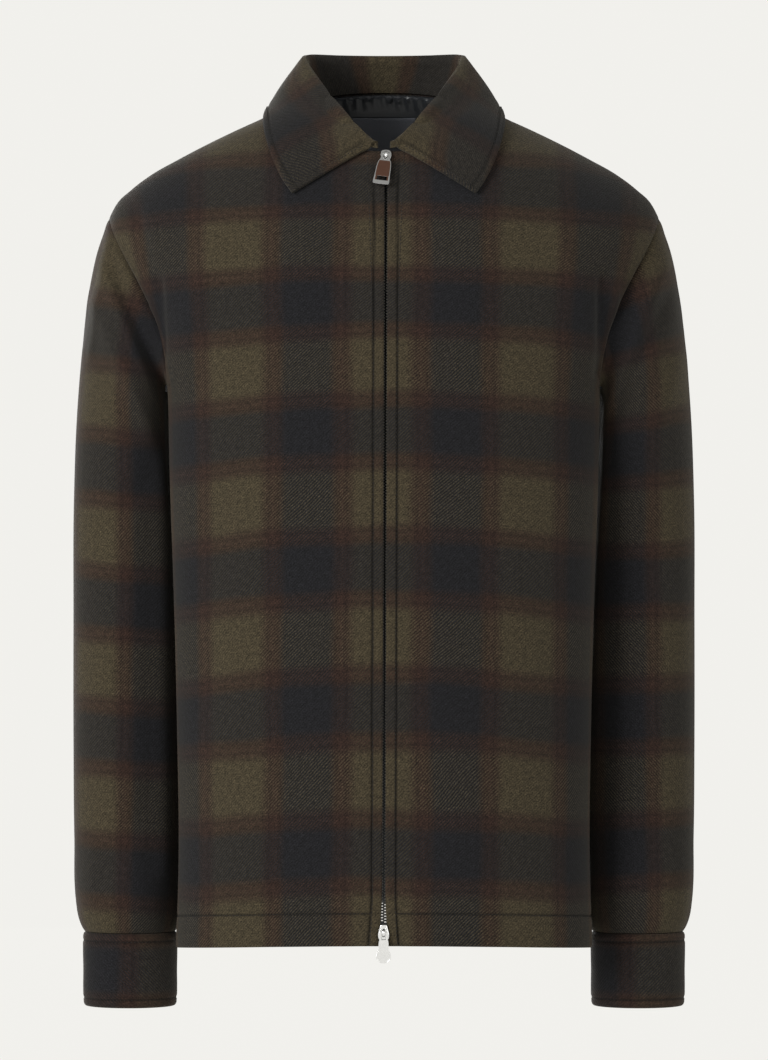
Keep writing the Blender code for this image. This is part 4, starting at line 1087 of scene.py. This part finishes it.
# Moves points out along the body's normal until they clear it.
def standOff(points, clearance):
    for turn in range(4):
        x, y = points[..., 0], points[..., 1]
        here = bodyHeight(x, y)
        slopeX = bodyHeight(x + 0.5, y) - bodyHeight(x - 0.5, y)
        slopeY = bodyHeight(x, y + 0.5) - bodyHeight(x, y - 0.5)
        size = np.sqrt(1 + slopeX**2 + slopeY**2)
        push = np.maximum(clearance - (points[..., 2] - here) / size, 0)
        points = points + np.stack([-slopeX, -slopeY, np.ones_like(size)], -1) * (push / size)[..., None]
    return points


# Collar from the neck seam up the stand, over the roll and down the leaf: straight blends with a
# sine bulge, then one smooth curve through those rows.
def collarHalf(shares, steps):
    table = np.array(collarLook["stations"])
    roll = curveThrough(table[:, 0], table[:, 1:4], shares)
    edge = curveThrough(table[:, 0], table[:, 4:7], shares)
    frontX = np.linspace(0, body["neckHalf"], 160)
    frontZ = curveThrough(body["frontNeckX"], body["frontNeckZ"], frontX)
    backX = frontX[::-1]
    backZ = curveThrough(body["backNeckX"], body["backNeckZ"], backX)
    neck = np.concatenate([np.column_stack([frontX, panelY(frontX, frontZ, True), frontZ]),
                           np.column_stack([backX, panelY(backX, backZ, False), backZ])[1:]])
    start = 4.5 / 230
    base = evenAlong(neck, start + (1 - start) * shares)
    tangent = unit(np.gradient(roll, axis=0))
    down = base - roll
    down = unit(down - (down * tangent).sum(1, keepdims=True) * tangent)
    out = edge - roll
    out = unit(out - (out * tangent).sum(1, keepdims=True) * tangent)
    side = unit(out - (out * down).sum(1, keepdims=True) * down)
    fold = collarLook["fold"]
    foldIn = roll - side * fold * 0.9 + down * fold
    foldOut = roll + side * fold * 0.9 + down * fold * 0.8
    inward = np.array([0.0, -12.0, 0.0]) - base
    inward[:, 2] = 0
    base = base + unit(inward) * 1.3 + [0, 0, 0.6]
    near = np.clip(1 - shares / 0.3, 0, 1)
    clear = 1.9 * near - 50 * (near <= 0)
    base = standOff(base, clear)
    rows = [base]
    for k in (0.4, 0.75):
        bulge = side * 1.2 * math.sin(math.pi * k) * (1 - near[:, None])
        rows.append(standOff(base + (foldIn - base) * k + bulge, clear))
    foldOut = standOff(foldOut, 3.0)
    rows += [foldIn, roll, foldOut]
    for k in (0.12, 0.32, 0.55, 0.78, 1.0):
        bulge = side * 3.0 * math.sin(math.pi * k)
        rows.append(standOff(foldOut + (edge - foldOut) * k + bulge, collarLook["leafClear"]))
    rows = np.stack(rows)
    # evened along the collar, so that it lies in one sweep from the front end to the nape
    even = np.linspace(0, 1, 121)
    sweep = curveThrough(shares, rows.transpose(1, 0, 2), even)
    mirror = sweep[::-1][1:] * [-1, 1, 1]
    whole = np.concatenate([sweep, mirror])
    for turn in range(collarLook["sweeps"]):
        whole[1:-1] = (whole[:-2] + 2 * whole[1:-1] + whole[2:]) / 4
    rows = curveThrough(even, whole[:121], shares).transpose(1, 0, 2)
    rollRun = lengthRun(rows[4])
    run = np.concatenate([[0], np.cumsum(np.linalg.norm(np.diff(rows, axis=0), axis=2).mean(1))])
    return curveThrough(run, rows, run[-1] * steps), run / run[-1], rollRun


collarExtra = np.array([1.3, 2.8, 4.4, 5.3, 6.0, 6.7, 7.6, 9.4])
collarShares = spaced(0, 1, 70, collarExtra / collarLook["halfRun"], 0.006)
collarSteps = spaced(0, 1, 44, 1 - collarExtra / collarLook["depth"], 0.010)
collarSide, collarRun, rollRun = collarHalf(collarShares, collarSteps)
collarGrid = np.concatenate([collarSide * [-1, 1, 1], collarSide[:, ::-1][:, 1:]], 1)
collarNormal = gridNormals(collarGrid, False)
# the normal of the leaf's outside points up
if collarNormal[-3, collarGrid.shape[1] // 2, 1] < 0:
    collarNormal = -collarNormal
first, last, stand, leaf = runs(collarGrid)
onLeaf = np.clip((collarSteps[:, None] - collarRun[4]) * 12, 0, 1)
seam = collarLook["stitchFromEdge"]
toEnd = np.minimum(first, last)
collarPush = stitchedEdge(leaf, seam, 0.45, 0.5) * onLeaf
ends = stitchedEdge(toEnd, seam, 0.45, 0.5) * onLeaf
collarPush = np.where(toEnd < 13, np.minimum(collarPush, ends) + 0.12, collarPush)
waves = np.sin(np.linspace(0, 9 * math.pi, collarGrid.shape[1]))[None]
ripple = 0.55 * waves * np.sin(math.pi * collarSteps)[:, None]
half = collarLook["wall"] / 2
collarOuter = collarGrid + collarNormal * (half + collarPush + 0.2 * ripple)[..., None]
collarInner = collarGrid - collarNormal * (half - 0.3 * pulse(leaf, 2.0) - 0.2 * ripple)[..., None]
rollAt = np.interp(collarRun[4], collarSteps, stand[:, collarGrid.shape[1] // 2])
columns = np.concatenate([rollRun - rollRun[-1], (rollRun[-1] - rollRun)[::-1][1:]])
v = np.broadcast_to(columns[None], collarGrid.shape[:2])
places = np.stack([(stand - rollAt) - collarLook["rollToNavy"], v], -1)
pieces["collar"] = addCloth("turnedCollar", collarOuter, collarInner, False, places, [wool["collar"]], 1.1)
# painted shade in the collar's stitched grooves
stitchShade = np.maximum(pulse(leaf - seam, 0.9), pulse(toEnd - seam, 0.9) * (leaf > seam))
addGrooveShade(pieces["collar"], 0.5 * onLeaf * stitchShade)
finishPiece(pieces["collar"], "jacket", ["collar"])
measure("collar", collarGrid, False)

print("lining and label")
liningLook = {
    "wall": 1.0, "inset": 0.45, "bottom": -692,
    # puckers below the neck seam: x, length, height, half width
    "puckers": [(-47, 15, 1.6, 2.6), (-38, 22, 1.2, 2.2), (-30, 12, 1.7, 2.4), (-21, 17, 1.1, 2.6),
                (-13, 10, 1.5, 2.0), (-5, 14, 1.0, 2.4), (4, 11, 1.5, 2.2), (12, 16, 1.2, 2.4),
                (21, 12, 1.6, 2.0), (29, 19, 1.2, 2.6), (38, 14, 1.5, 2.2), (48, 20, 1.3, 2.8),
                (58, 24, 1.0, 3.2), (-58, 26, 1.1, 3.0)],
    "creases": [(40, -90, 90, -260, 1.4, 12), (110, -200, 120, -420, 1.6, 16),
                (30, -300, 60, -520, 1.2, 18), (140, -420, 120, -600, 1.5, 14),
                (70, -540, 66, -690, 1.3, 15)],
    "label": {"half": 28.0, "top": -8.0, "height": 38.0, "wall": 0.6, "behind": 3.9},
}
liningGrid = grids["back"][0][:, 2:-2]
liningNormal = normals["back"][0][:, 2:-2]
topDistance = runs(liningGrid)[3]
pucker = np.zeros(liningGrid.shape[:2])
for x, length, height, width in liningLook["puckers"]:
    ridge = pulse(liningGrid[..., 0] - x - 0.12 * topDistance, width) * pulse(topDistance, length)
    pucker += 1.8 * height * ridge * (1 - pulse(topDistance, 1.5))
besideLabel = np.maximum(np.abs(liningGrid[..., 0]) - liningLook["label"]["half"], 0)
nearLabel = pulse(besideLabel, 4) * (topDistance > 16)
wrinkles = creases(liningGrid, liningLook["creases"])
inward = (pucker * (1 - nearLabel) + np.abs(wrinkles))[..., None] * liningNormal
liningOuter = liningGrid - liningNormal * (body["wall"] + liningLook["inset"]) - inward
liningInner = liningOuter - liningNormal * liningLook["wall"]
for wall in (liningOuter, liningInner):
    wall[-1] += unit(wall[-2] - wall[-1]) * 0.6
liningRows = int((liningGrid[:, liningGrid.shape[1] // 2, 2] < liningLook["bottom"]).sum())
liningOuter, liningInner, places = (
    rows[liningRows:] for rows in (liningOuter, liningInner, panelPlaces(liningGrid, False)))
pieces["lining"] = addCloth("liningBack", liningOuter, liningInner, False, places, [satin], 0.25)
finishPiece(pieces["lining"], "jacket", ["lining_back"])
measure("liningBack", liningOuter, False)

label = liningLook["label"]
labelX, labelZ = np.meshgrid(np.linspace(-label["half"], label["half"], 41),
                             np.linspace(label["top"] - label["height"], label["top"], 29))
labelGrid = np.stack([labelX, panelY(labelX, labelZ, False), labelZ], -1)
labelNormal = gridNormals(labelGrid, False)
labelNormal *= np.sign(labelNormal[..., 1:2])
labelGrid = labelGrid - labelNormal * label["behind"]
edgeDistance = np.minimum.reduce(runs(labelGrid))
raised = 0.12 * np.sin(np.clip(edgeDistance / 2.4, 0, 1) * math.pi) - 0.15 * pulse(edgeDistance, 0.8)
labelInner = labelGrid - labelNormal * (label["wall"] + raised)[..., None]
labelPlaces = np.stack([labelX, labelZ], -1)
pieces["label"] = addCloth("neckLabel", labelGrid, labelInner, False, labelPlaces, [labelCloth], 0.15)
finishPiece(pieces["label"], "jacket", ["neck_label"])
measure("neckLabel", labelGrid, False)

print("zip")
zipLook = {
    "tapeInner": 3.5, "tapeOuter": 14.0, "tapeWall": 0.8, "behind": 2.7,
    "tapeTop": -53.0, "tapeBottom": -708.0,
    "chainTop": -62.5, "chainBottom": -692.0, "pitch": 2.4,
    "tooth": (2.5, 1.25, 1.7),    # across, along, thick
    # teeth below this height get the bright copy of the metal as painted light
    "toothOffset": 1.35, "litBelow": -675.0,
    "topSlider": -55.5, "bottomSlider": -699.5, "lean": math.radians(8.5),
    "plate": [(-6.5, 2.2), (-6.1, 3.1), (-5.0, 4.1), (-3.0, 4.6), (-1.0, 4.6), (1.0, 4.2), (3.0, 3.6),
              (5.0, 3.1), (6.3, 2.7), (6.8, 2.0)],    # along, half width
    "plateWall": 1.9, "lift": 0.5, "bailHalf": 1.2, "bailFeet": 3.6, "bailRise": 5.2, "wire": 0.62,
    "pullWall": 1.5, "pullLift": 1.6,
}


# Depth of the centre front and its outward normal over z.
def frontLine(z):
    z = np.asarray(z, float)

    def depth(height):
        over = panelY(np.zeros_like(height), height, True)
        return np.where(height > body["rows"][-1][0], over, bodyRow(height, 1))

    slope = (depth(z + 1) - depth(z - 1)) / 2
    return depth(z), unit(np.stack([np.zeros_like(z), -np.ones_like(z), slope], -1))


# Superellipse ring: cos and sin to the power of e, signs kept.
def squareRing(count, power):
    turn = (np.arange(count) + 0.5) * tau / count
    return (np.sign(np.cos(turn)) * np.abs(np.cos(turn)) ** power,
            np.sign(np.sin(turn)) * np.abs(np.sin(turn)) ** power)


rowZ = np.linspace(zipLook["tapeBottom"], zipLook["tapeTop"], 260)
y, normal = frontLine(rowZ)
middle = np.column_stack([zipX(rowZ), y, rowZ])
for side, sign in (("Left", 1), ("Right", -1)):
    widths = sign * spaced(zipLook["tapeInner"], zipLook["tapeOuter"], 8, [], 0.1)
    grid = middle[:, None] + widths[None, :, None] * np.array([1.0, 0, 0])
    cord = 0.35 * pulse(np.abs(widths) - zipLook["tapeInner"] - 0.8, 0.9)
    wave = 0.06 * np.sin(rowZ * 1.3)[:, None] + cord[None]
    outer = grid - normal[:, None] * zipLook["behind"]
    inner = outer - normal[:, None] * (zipLook["tapeWall"] + wave)[..., None]
    places = np.stack(np.meshgrid(widths, rowZ), -1)
    name = "zipTape" + side
    pieces[name] = addCloth(name, outer, inner, False, places, [tapeCloth], 0.2)
    finishPiece(pieces[name], "jacket", [nodeName(name)])
    measure(name, outer, False)

# Teeth: eight-sided blocks, one row on each side, half a pitch apart.
toothZ = np.arange(zipLook["chainBottom"] + 1, zipLook["chainTop"] - 1, zipLook["pitch"])
centres = np.concatenate([toothZ, toothZ + zipLook["pitch"] / 2])
signs = np.repeat([1.0, -1.0], len(toothZ))
y, normal = frontLine(centres)
across = np.array([1.0, 0.0, 0.0])
up = np.cross(normal, across)
up *= np.sign(up[:, 2:])
origin = np.column_stack([zipX(centres) + signs * zipLook["toothOffset"], y, centres])
origin -= normal * (zipLook["behind"] + 0.95)
wide, tall, thick = zipLook["tooth"]
ringX, ringZ = squareRing(8, 0.6)
ringX, ringZ = ringX * wide / 2, ringZ * tall / 2
blocks = []
for depth, size in ((-0.5, 0.72), (-0.22, 1.0), (0.22, 1.0), (0.5, 0.72)):
    ring = across * (ringX * size)[None, :, None] + up[:, None] * (ringZ * size)[None, :, None]
    blocks.append(origin[:, None] + ring + normal[:, None] * depth * thick)
blocks = np.stack(blocks, 1).reshape(len(centres), 32, 3)
toothQuads, toothEnds = rodParts(4, 8)
if signedVolume(blocks[0], toothQuads) < 0:
    toothQuads, toothEnds = toothQuads[:, ::-1], toothEnds[:, ::-1]
teethFaces = rodFaces(blocks, toothQuads, toothEnds)
# painted light and shade: the teeth low by the hem get a bright copy of the metal, the rest a dark copy as
# painted shade in the gap; side faces come first, then the ends
litTeeth = (centres < zipLook["litBelow"]).astype(int)
toothParts = np.concatenate([np.repeat(litTeeth, len(toothQuads)), np.repeat(litTeeth, len(toothEnds))])
pieces["teeth"] = addMesh("zipTeeth", blocks.reshape(-1, 3), teethFaces, [shadedToothMetal, litToothMetal],
                          faceMaterial=toothParts, smooth=False)
finishPiece(pieces["teeth"], "jacket", ["zip_chain"])


# Point on the zip line with its across, down and outward directions.
def zipFrame(z):
    y, normal = frontLine(np.array([z]))
    out = normal[0]
    down = np.cross(across, out)
    return np.array([float(zipX(z)), float(y[0]), z]), across, down * (-1 if down[2] > 0 else 1), out


# Closed loft of rings with flat ends; rings is (stations, around, 3).
def loftFaces(stations, around):
    index = np.arange(stations * around).reshape(stations, around)
    return gridQuads(closeRing(index)), [index[0][::-1].tolist(), index[-1].tolist()]


def joinLofts(name, lofts, material):
    points, faces, base = [], [], 0
    for rings in lofts:
        quads, ends = loftFaces(*rings.shape[:2])
        flat = rings.reshape(-1, 3)
        if signedVolume(flat, quads) < 0:
            quads, ends = quads[:, ::-1], [end[::-1] for end in ends]
        faces += (quads + base).tolist() + [[k + base for k in end] for end in ends]
        points.append(flat)
        base += len(flat)
    return addMesh(name, np.concatenate(points), faces, [material])


def addSlider(name, node, z, flip):
    origin, across, down, out = zipFrame(z)
    lift, wall = zipLook["lift"], zipLook["plateWall"]

    def place(u, v, w):
        return origin + u[..., None] * across + v[..., None] * down * flip + w[..., None] * out

    ringU, ringW = squareRing(24, 0.45)
    stations = np.array(zipLook["plate"])
    along = np.linspace(stations[0, 0], stations[-1, 0], 30)
    half = curveThrough(stations[:, 0], stations[:, 1], along)
    end = np.clip(np.minimum(along - along[0], along[-1] - along) / 0.9, 0, 1)
    full = 0.55 + 0.45 * np.sqrt(1 - (1 - end) ** 2)
    crown = 0.35 * pulse(ringU * 2.2, 1.0) * (ringW > 0)
    u = half[:, None] * ringU[None] * (0.9 + 0.1 * end[:, None])
    w = lift + wall / 2 + wall / 2 * full[:, None] * ringW[None] + crown[None]
    plate = place(u, np.broadcast_to(along[:, None], u.shape), w)
    # neck through the gap between the edges
    neckW = np.linspace(-body["wall"] - 0.2, lift + 0.2, 6)
    ringU, ringV = squareRing(16, 0.5)
    neck = place(np.broadcast_to(0.8 * ringU, (6, 16)), np.broadcast_to(6.0 * ringV, (6, 16)),
                 np.broadcast_to(neckW[:, None], (6, 16)))
    # bail: round wire on an arch, v = -cos(a) * reach, w = sin(a)^0.6 * rise
    angle = np.linspace(0, math.pi, 33)[:, None]
    reach = zipLook["bailFeet"] - zipLook["wire"]
    rise = zipLook["bailRise"] - zipLook["wire"]
    pathV = -np.cos(angle) * reach
    pathW = lift + wall - 0.6 + np.sin(angle) ** 0.6 * rise
    outV, outW = unit(np.concatenate([-np.cos(angle), np.sin(angle) + 0.05], 1)).T[:, :, None]
    turn = np.arange(12) * tau / 12
    ringSide = zipLook["bailHalf"] * np.cos(turn)[None] * np.ones_like(angle)
    ringOut = zipLook["wire"] * np.sin(turn)[None]
    bail = place(ringSide, pathV + outV * ringOut, pathW + outW * ringOut)
    # two rails beside the bail's feet
    railU, railW = squareRing(10, 0.8)
    rails = []
    for side in (-1, 1):
        railV = np.linspace(-3.6, 3.4, 8)[:, None]
        rails.append(place(side * 2.4 + 0.45 * railU[None] + 0 * railV, railV + 0 * railU[None],
                           lift + wall + 0.15 + 0.4 * railW[None] + 0 * railV))
    piece = joinLofts(name, [plate, neck, bail] + rails, chrome)
    finishPiece(piece, "jacket", [node])
    return origin, across, down, out


# Pull tab: rows across a flat plate with an eye and a window left out, two faces and their rims.
def addPull(name, node, riding, look, sliderFrame, materials):
    origin, across, down, out = sliderFrame
    pivot = origin + out * (zipLook["lift"] + zipLook["plateWall"] + zipLook["pullLift"])
    lean = look["lean"]
    downTurned = down * math.cos(lean) - across * math.sin(lean)
    acrossTurned = across * math.cos(lean) + down * math.sin(lean)
    outline = np.array(look["outline"])
    low, high = outline[0, 0], outline[-1, 0]
    cuts = sorted({edge for hole in look["holes"] for edge in hole[:2]})
    cuts += [low + 0.15, low + 0.4] + [high - step for step in (0.12, 0.4, 0.8, 1.4, 2.2)]
    along = spaced(low, high, 34, cuts, 0.3)
    half = curveThrough(outline[:, 0], outline[:, 1], along)
    for distance, r in zip((along - low, high - along), look["corners"]):
        t = np.clip(distance / r, 0, 1)
        half = half - r * (1 - np.sqrt(1 - (1 - t) ** 2)) * 0.9
    columns = np.array([-1, -0.9, -0.74, -0.3, 0.3, 0.74, 0.9, 1.0])
    u = half[:, None] * columns[None]
    middleAlong = (along[:-1] + along[1:]) / 2
    solid = np.ones((len(along) - 1, len(columns) - 1), bool)
    for start, stop, holeHalf in look["holes"]:
        inside = (along > start - 1e-6) & (along < stop + 1e-6)
        u[inside, 2] = -holeHalf
        u[inside, 5] = holeHalf
        u[np.ix_(inside, [3, 4])] = np.array([-0.4, 0.4]) * holeHalf
        u[inside, 1] = (u[inside, 0] - holeHalf) / 2
        u[inside, 6] = (u[inside, 7] + holeHalf) / 2
        solid[np.ix_((middleAlong > start) & (middleAlong < stop), [2, 3, 4])] = False
    wall = zipLook["pullWall"]
    rows, count = u.shape
    rim = np.minimum((1 - np.abs(columns)) / 0.12, 1)[None] * np.ones((rows, 1))
    sides = []
    for face in (-1, 1):
        dish = look["dish"] * np.clip(rim, 0, 1)
        if "bowl" in look:
            at, halfWide, halfLong, deep = look["bowl"]
            inBowl = 1 - (u / halfWide) ** 2 - ((along[:, None] - at) / halfLong) ** 2
            dish = dish + deep * np.sqrt(np.clip(inBowl, 0, 1))
        w = face * (wall / 2 - dish)
        onPlate = pivot + u[..., None] * acrossTurned + along[:, None, None] * downTurned
        sides.append(onPlate + w[..., None] * out)
    points = np.concatenate([sides[0].reshape(-1, 3), sides[1].reshape(-1, 3)])
    index = np.arange(rows * count).reshape(rows, count)
    a, b, c, d = index[:-1, :-1][solid], index[:-1, 1:][solid], index[1:, 1:][solid], index[1:, :-1][solid]
    columnsOf = np.broadcast_to(np.arange(count - 1), solid.shape)[solid]
    quads = [np.stack([a, b, c, d], 1), np.stack([d, c, b, a], 1) + rows * count]
    alongOf = np.broadcast_to(middleAlong[:, None], solid.shape)[solid]
    onFace = (alongOf < look["faceEnds"]) & (alongOf > 6.6)
    inset = ((columnsOf > 0) & (columnsOf < count - 2) & onFace).astype(int)
    groups = [inset, inset]
    # rims wherever a solid cell meets an open one: each directed edge whose reverse is missing
    edges = np.concatenate([np.stack(pair, 1) for pair in ((a, b), (b, c), (c, d), (d, a))])
    key = edges[:, 0] * rows * count + edges[:, 1]
    back = edges[:, 1] * rows * count + edges[:, 0]
    free = edges[~np.isin(key, back)]
    quads.append(np.stack([free[:, 1], free[:, 0], free[:, 0] + rows * count, free[:, 1] + rows * count], 1))
    groups.append(np.zeros(len(free), int))
    quads = np.concatenate(quads)
    if signedVolume(points, quads) < 0:
        quads = quads[:, ::-1]
    used, quads = np.unique(quads, return_inverse=True)
    piece = addMesh(name, points[used], quads.reshape(-1, 4), materials,
                    faceMaterial=np.concatenate(groups) if len(materials) > 1 else None)
    roundRim(piece, 50, 0.28)
    finishPiece(piece, riding, [node])


frameTop = addSlider("zipSliderTop", "zip_slider_top", zipLook["topSlider"], 1)
frameBottom = addSlider("zipSliderBottom", "zip_slider_bottom", zipLook["bottomSlider"], -1)
# distances down the tab from its hinge; outline: along, half width; holes: from, to, half width
topPull = {
    "lean": zipLook["lean"], "faceEnds": 26.8, "corners": (1.6, 1.3), "dish": 0.14,
    "outline": [(-0.8, 3.4), (0.8, 3.7), (5.6, 4.2), (7.4, 5.2), (9.5, 5.6), (21.5, 6.4), (28.6, 6.8),
                (30.6, 6.8)],
    "holes": [(0.8, 5.6, 1.9), (22.5, 26.8, 4.3)],
}
bottomPull = {
    "lean": 0.0, "faceEnds": 24.0, "corners": (1.8, 5.2), "dish": 0.12, "bowl": (21.0, 5.4, 3.5, 0.5),
    "outline": [(-0.8, 3.2), (0.8, 3.3), (5.6, 3.5), (7.6, 4.0), (14.0, 4.3), (17.5, 5.6), (20.5, 6.2),
                (23.0, 6.0), (25.0, 5.2)],
    "holes": [(0.8, 5.6, 1.9)],
}
addPull("zipPullTop", "zip_pull_top", "top_pull", topPull, frameTop, [chrome, pullMetal])
addPull("zipPullBottom", "zip_pull_bottom", "bottom_pull", bottomPull, frameBottom,
        [chrome, chrome])

print("stitches")
stitchLook = {"pitch": 3.2, "length": 2.7, "radius": 0.34}


def gridLine(name, row=None, column=None, low=0, high=None):
    pick = (row, slice(low, high)) if row is not None else (slice(low, high), column)
    return outers[name][pick], normals[name][0][pick]


edgeColumn = int(np.abs(frontShares - fronts["stitchFromEdge"] / body["topRun"]).argmin())
hemRow = int(np.abs(lower - fronts["hemStitch"] / body["lowerRun"]).argmin())
lastColumn = len(frontShares) - 1
sewing = {
    "frontLeft": [gridLine("frontLeft", column=edgeColumn, low=1),
                  gridLine("frontLeft", row=hemRow, low=edgeColumn)],
    "frontRight": [gridLine("frontRight", column=lastColumn - edgeColumn, low=1),
                   gridLine("frontRight", row=hemRow, high=lastColumn - edgeColumn + 1)],
    "back": [gridLine("back", row=hemRow)],
    "cuffLeft": [line for side, line in cuffLines if side == "Left"],
    "cuffRight": [line for side, line in cuffLines if side == "Right"],
}
seam = collarLook["stitchFromEdge"]
leafRow = int(np.abs(collarSteps - (1 - seam / collarLook["depth"])).argmin())
endColumn = int(np.abs(collarShares - seam / collarLook["halfRun"]).argmin())
rollRow = int(np.abs(collarSteps - collarRun[4]).argmin()) + 3
picks = [(leafRow, slice(endColumn, collarGrid.shape[1] - endColumn)),
         (slice(rollRow, leafRow), endColumn), (slice(rollRow, leafRow), -1 - endColumn)]
sewing["collar"] = [(collarOuter[pick], collarNormal[pick]) for pick in picks]
stitches = {}
for name, lines in sewing.items():
    stitches[name] = addStitches("stitches" + capital(name), lines, stitchLook, thread)
    finishPiece(stitches[name], "jacket", [])

# flat cut of what shows, in metres: width round the widest row, length, area, how it is held
flats = {
    ("frontLeft", "frontRight"): (0.262, 0.735, 0.168, "hung"),
    ("back",): (0.540, 0.760, 0.362, "hung"),
    ("sleeveLeft", "sleeveRight"): (0.431, 0.615, 0.178, "hung"),
    ("cuffLeft", "cuffRight"): (0.246, 0.064, None, "hung"),
    ("collar",): (0.600, 0.107, 0.052, "folded"),
    ("lining",): (0.530, 0.742, 0.343, "hung"),
    ("label",): (0.056, 0.043, None, "hung"),
    ("zipTapeLeft", "zipTapeRight"): (0.0105, 0.661, None, "hung"),
}
for names, (width, length, area, held) in flats.items():
    for name in names:
        along = [stitches[name]] if name in stitches else []

print("stage")
# lengths in metres from here on
stageLook = {"flat": 9.0, "side": 7.0, "flatShare": 0.45, "floor": -1.02, "height": 14.0,
             "rings": 60, "around": 96, "tone": (241, 240, 236), "glow": 1.0, "fill": 0.4}
profile = np.linspace(0, 1, stageLook["rings"])
flatShare = stageLook["flatShare"]
bend = np.clip((profile - flatShare) / (1 - flatShare), 0, 1) * math.pi / 2
# a bowl: flat floor, then a quarter ellipse up the side
bowlR = np.where(profile < flatShare, stageLook["flat"] * profile / flatShare,
                 stageLook["flat"] + stageLook["side"] * np.sin(bend))
bowlZ = stageLook["floor"] + stageLook["height"] * (1 - np.cos(bend))
bowlTurn = np.linspace(0, tau, stageLook["around"], endpoint=False)
bowl = np.stack([bowlR[:, None] * np.cos(bowlTurn), bowlR[:, None] * np.sin(bowlTurn),
                 bowlZ[:, None] + 0 * bowlTurn], -1)[1:]
index = closeRing(np.arange(bowl[..., 0].size).reshape(bowl.shape[:2]))
centre = bowl[..., 0].size
bowlFaces = gridQuads(index)[:, [0, 3, 2, 1]].tolist()
bowlFaces += [[centre, int(index[0, k]), int(index[0, k + 1])] for k in range(stageLook["around"])]
paleStage = newMaterial("paleStage", {
    "Base Color": (0.002, 0.002, 0.002, 1), "Roughness": 0.95, "Specular IOR Level": 0.0,
    "Emission Color": colour(*stageLook["tone"]), "Emission Strength": stageLook["glow"],
})[0]
bowlPoints = np.concatenate([bowl.reshape(-1, 3), [[0, 0, stageLook["floor"]]]]) * 1000
floor = addMesh("paleFloor", bowlPoints, bowlFaces, [paleStage])

print("light and camera")
lightLook = {
    "key": {"at": (-2.8, -3.3, 0.75), "size": 1.7, "power": 195},
    "fill": {"at": (3.0, -3.2, 0.0), "size": 2.4, "power": 22},
    "back": {"at": (-1.4, 4.2, 0.3), "size": 2.6, "power": 150},
}
cameraLook = {"at": (0, -5, -0.366), "turn": (math.pi / 2, 0, 0), "lens": 199.8, "sensor": 36, "reach": 100}
aimedAt = Vector((0, 0, -0.38))
for name, look in lightLook.items():
    lamp = bpy.data.lights.new(name, "AREA")
    lamp.shape = "SQUARE"
    lamp.size = look["size"]
    lamp.energy = look["power"]
    holder = bpy.data.objects.new(name, lamp)
    holder.location = look["at"]
    holder.rotation_euler = (aimedAt - Vector(look["at"])).to_track_quat("-Z", "Y").to_euler()
    bpy.context.scene.collection.objects.link(holder)

world = bpy.data.worlds.new("studio")
bpy.context.scene.world = world
world.use_nodes = True
air = world.node_tree.nodes["Background"]
air.inputs[0].default_value = colour(*stageLook["tone"])
air.inputs[1].default_value = stageLook["fill"]

camera = bpy.data.cameras.new("camera")
camera.lens = cameraLook["lens"]
camera.sensor_width = cameraLook["sensor"]
camera.clip_end = cameraLook["reach"]
cameraHolder = bpy.data.objects.new("camera", camera)
cameraHolder.location = cameraLook["at"]
cameraHolder.rotation_euler = cameraLook["turn"]
bpy.context.scene.collection.objects.link(cameraHolder)
bpy.context.scene.camera = cameraHolder
bpy.context.scene.view_settings.view_transform = "Standard"

bpy.context.view_layer.update()
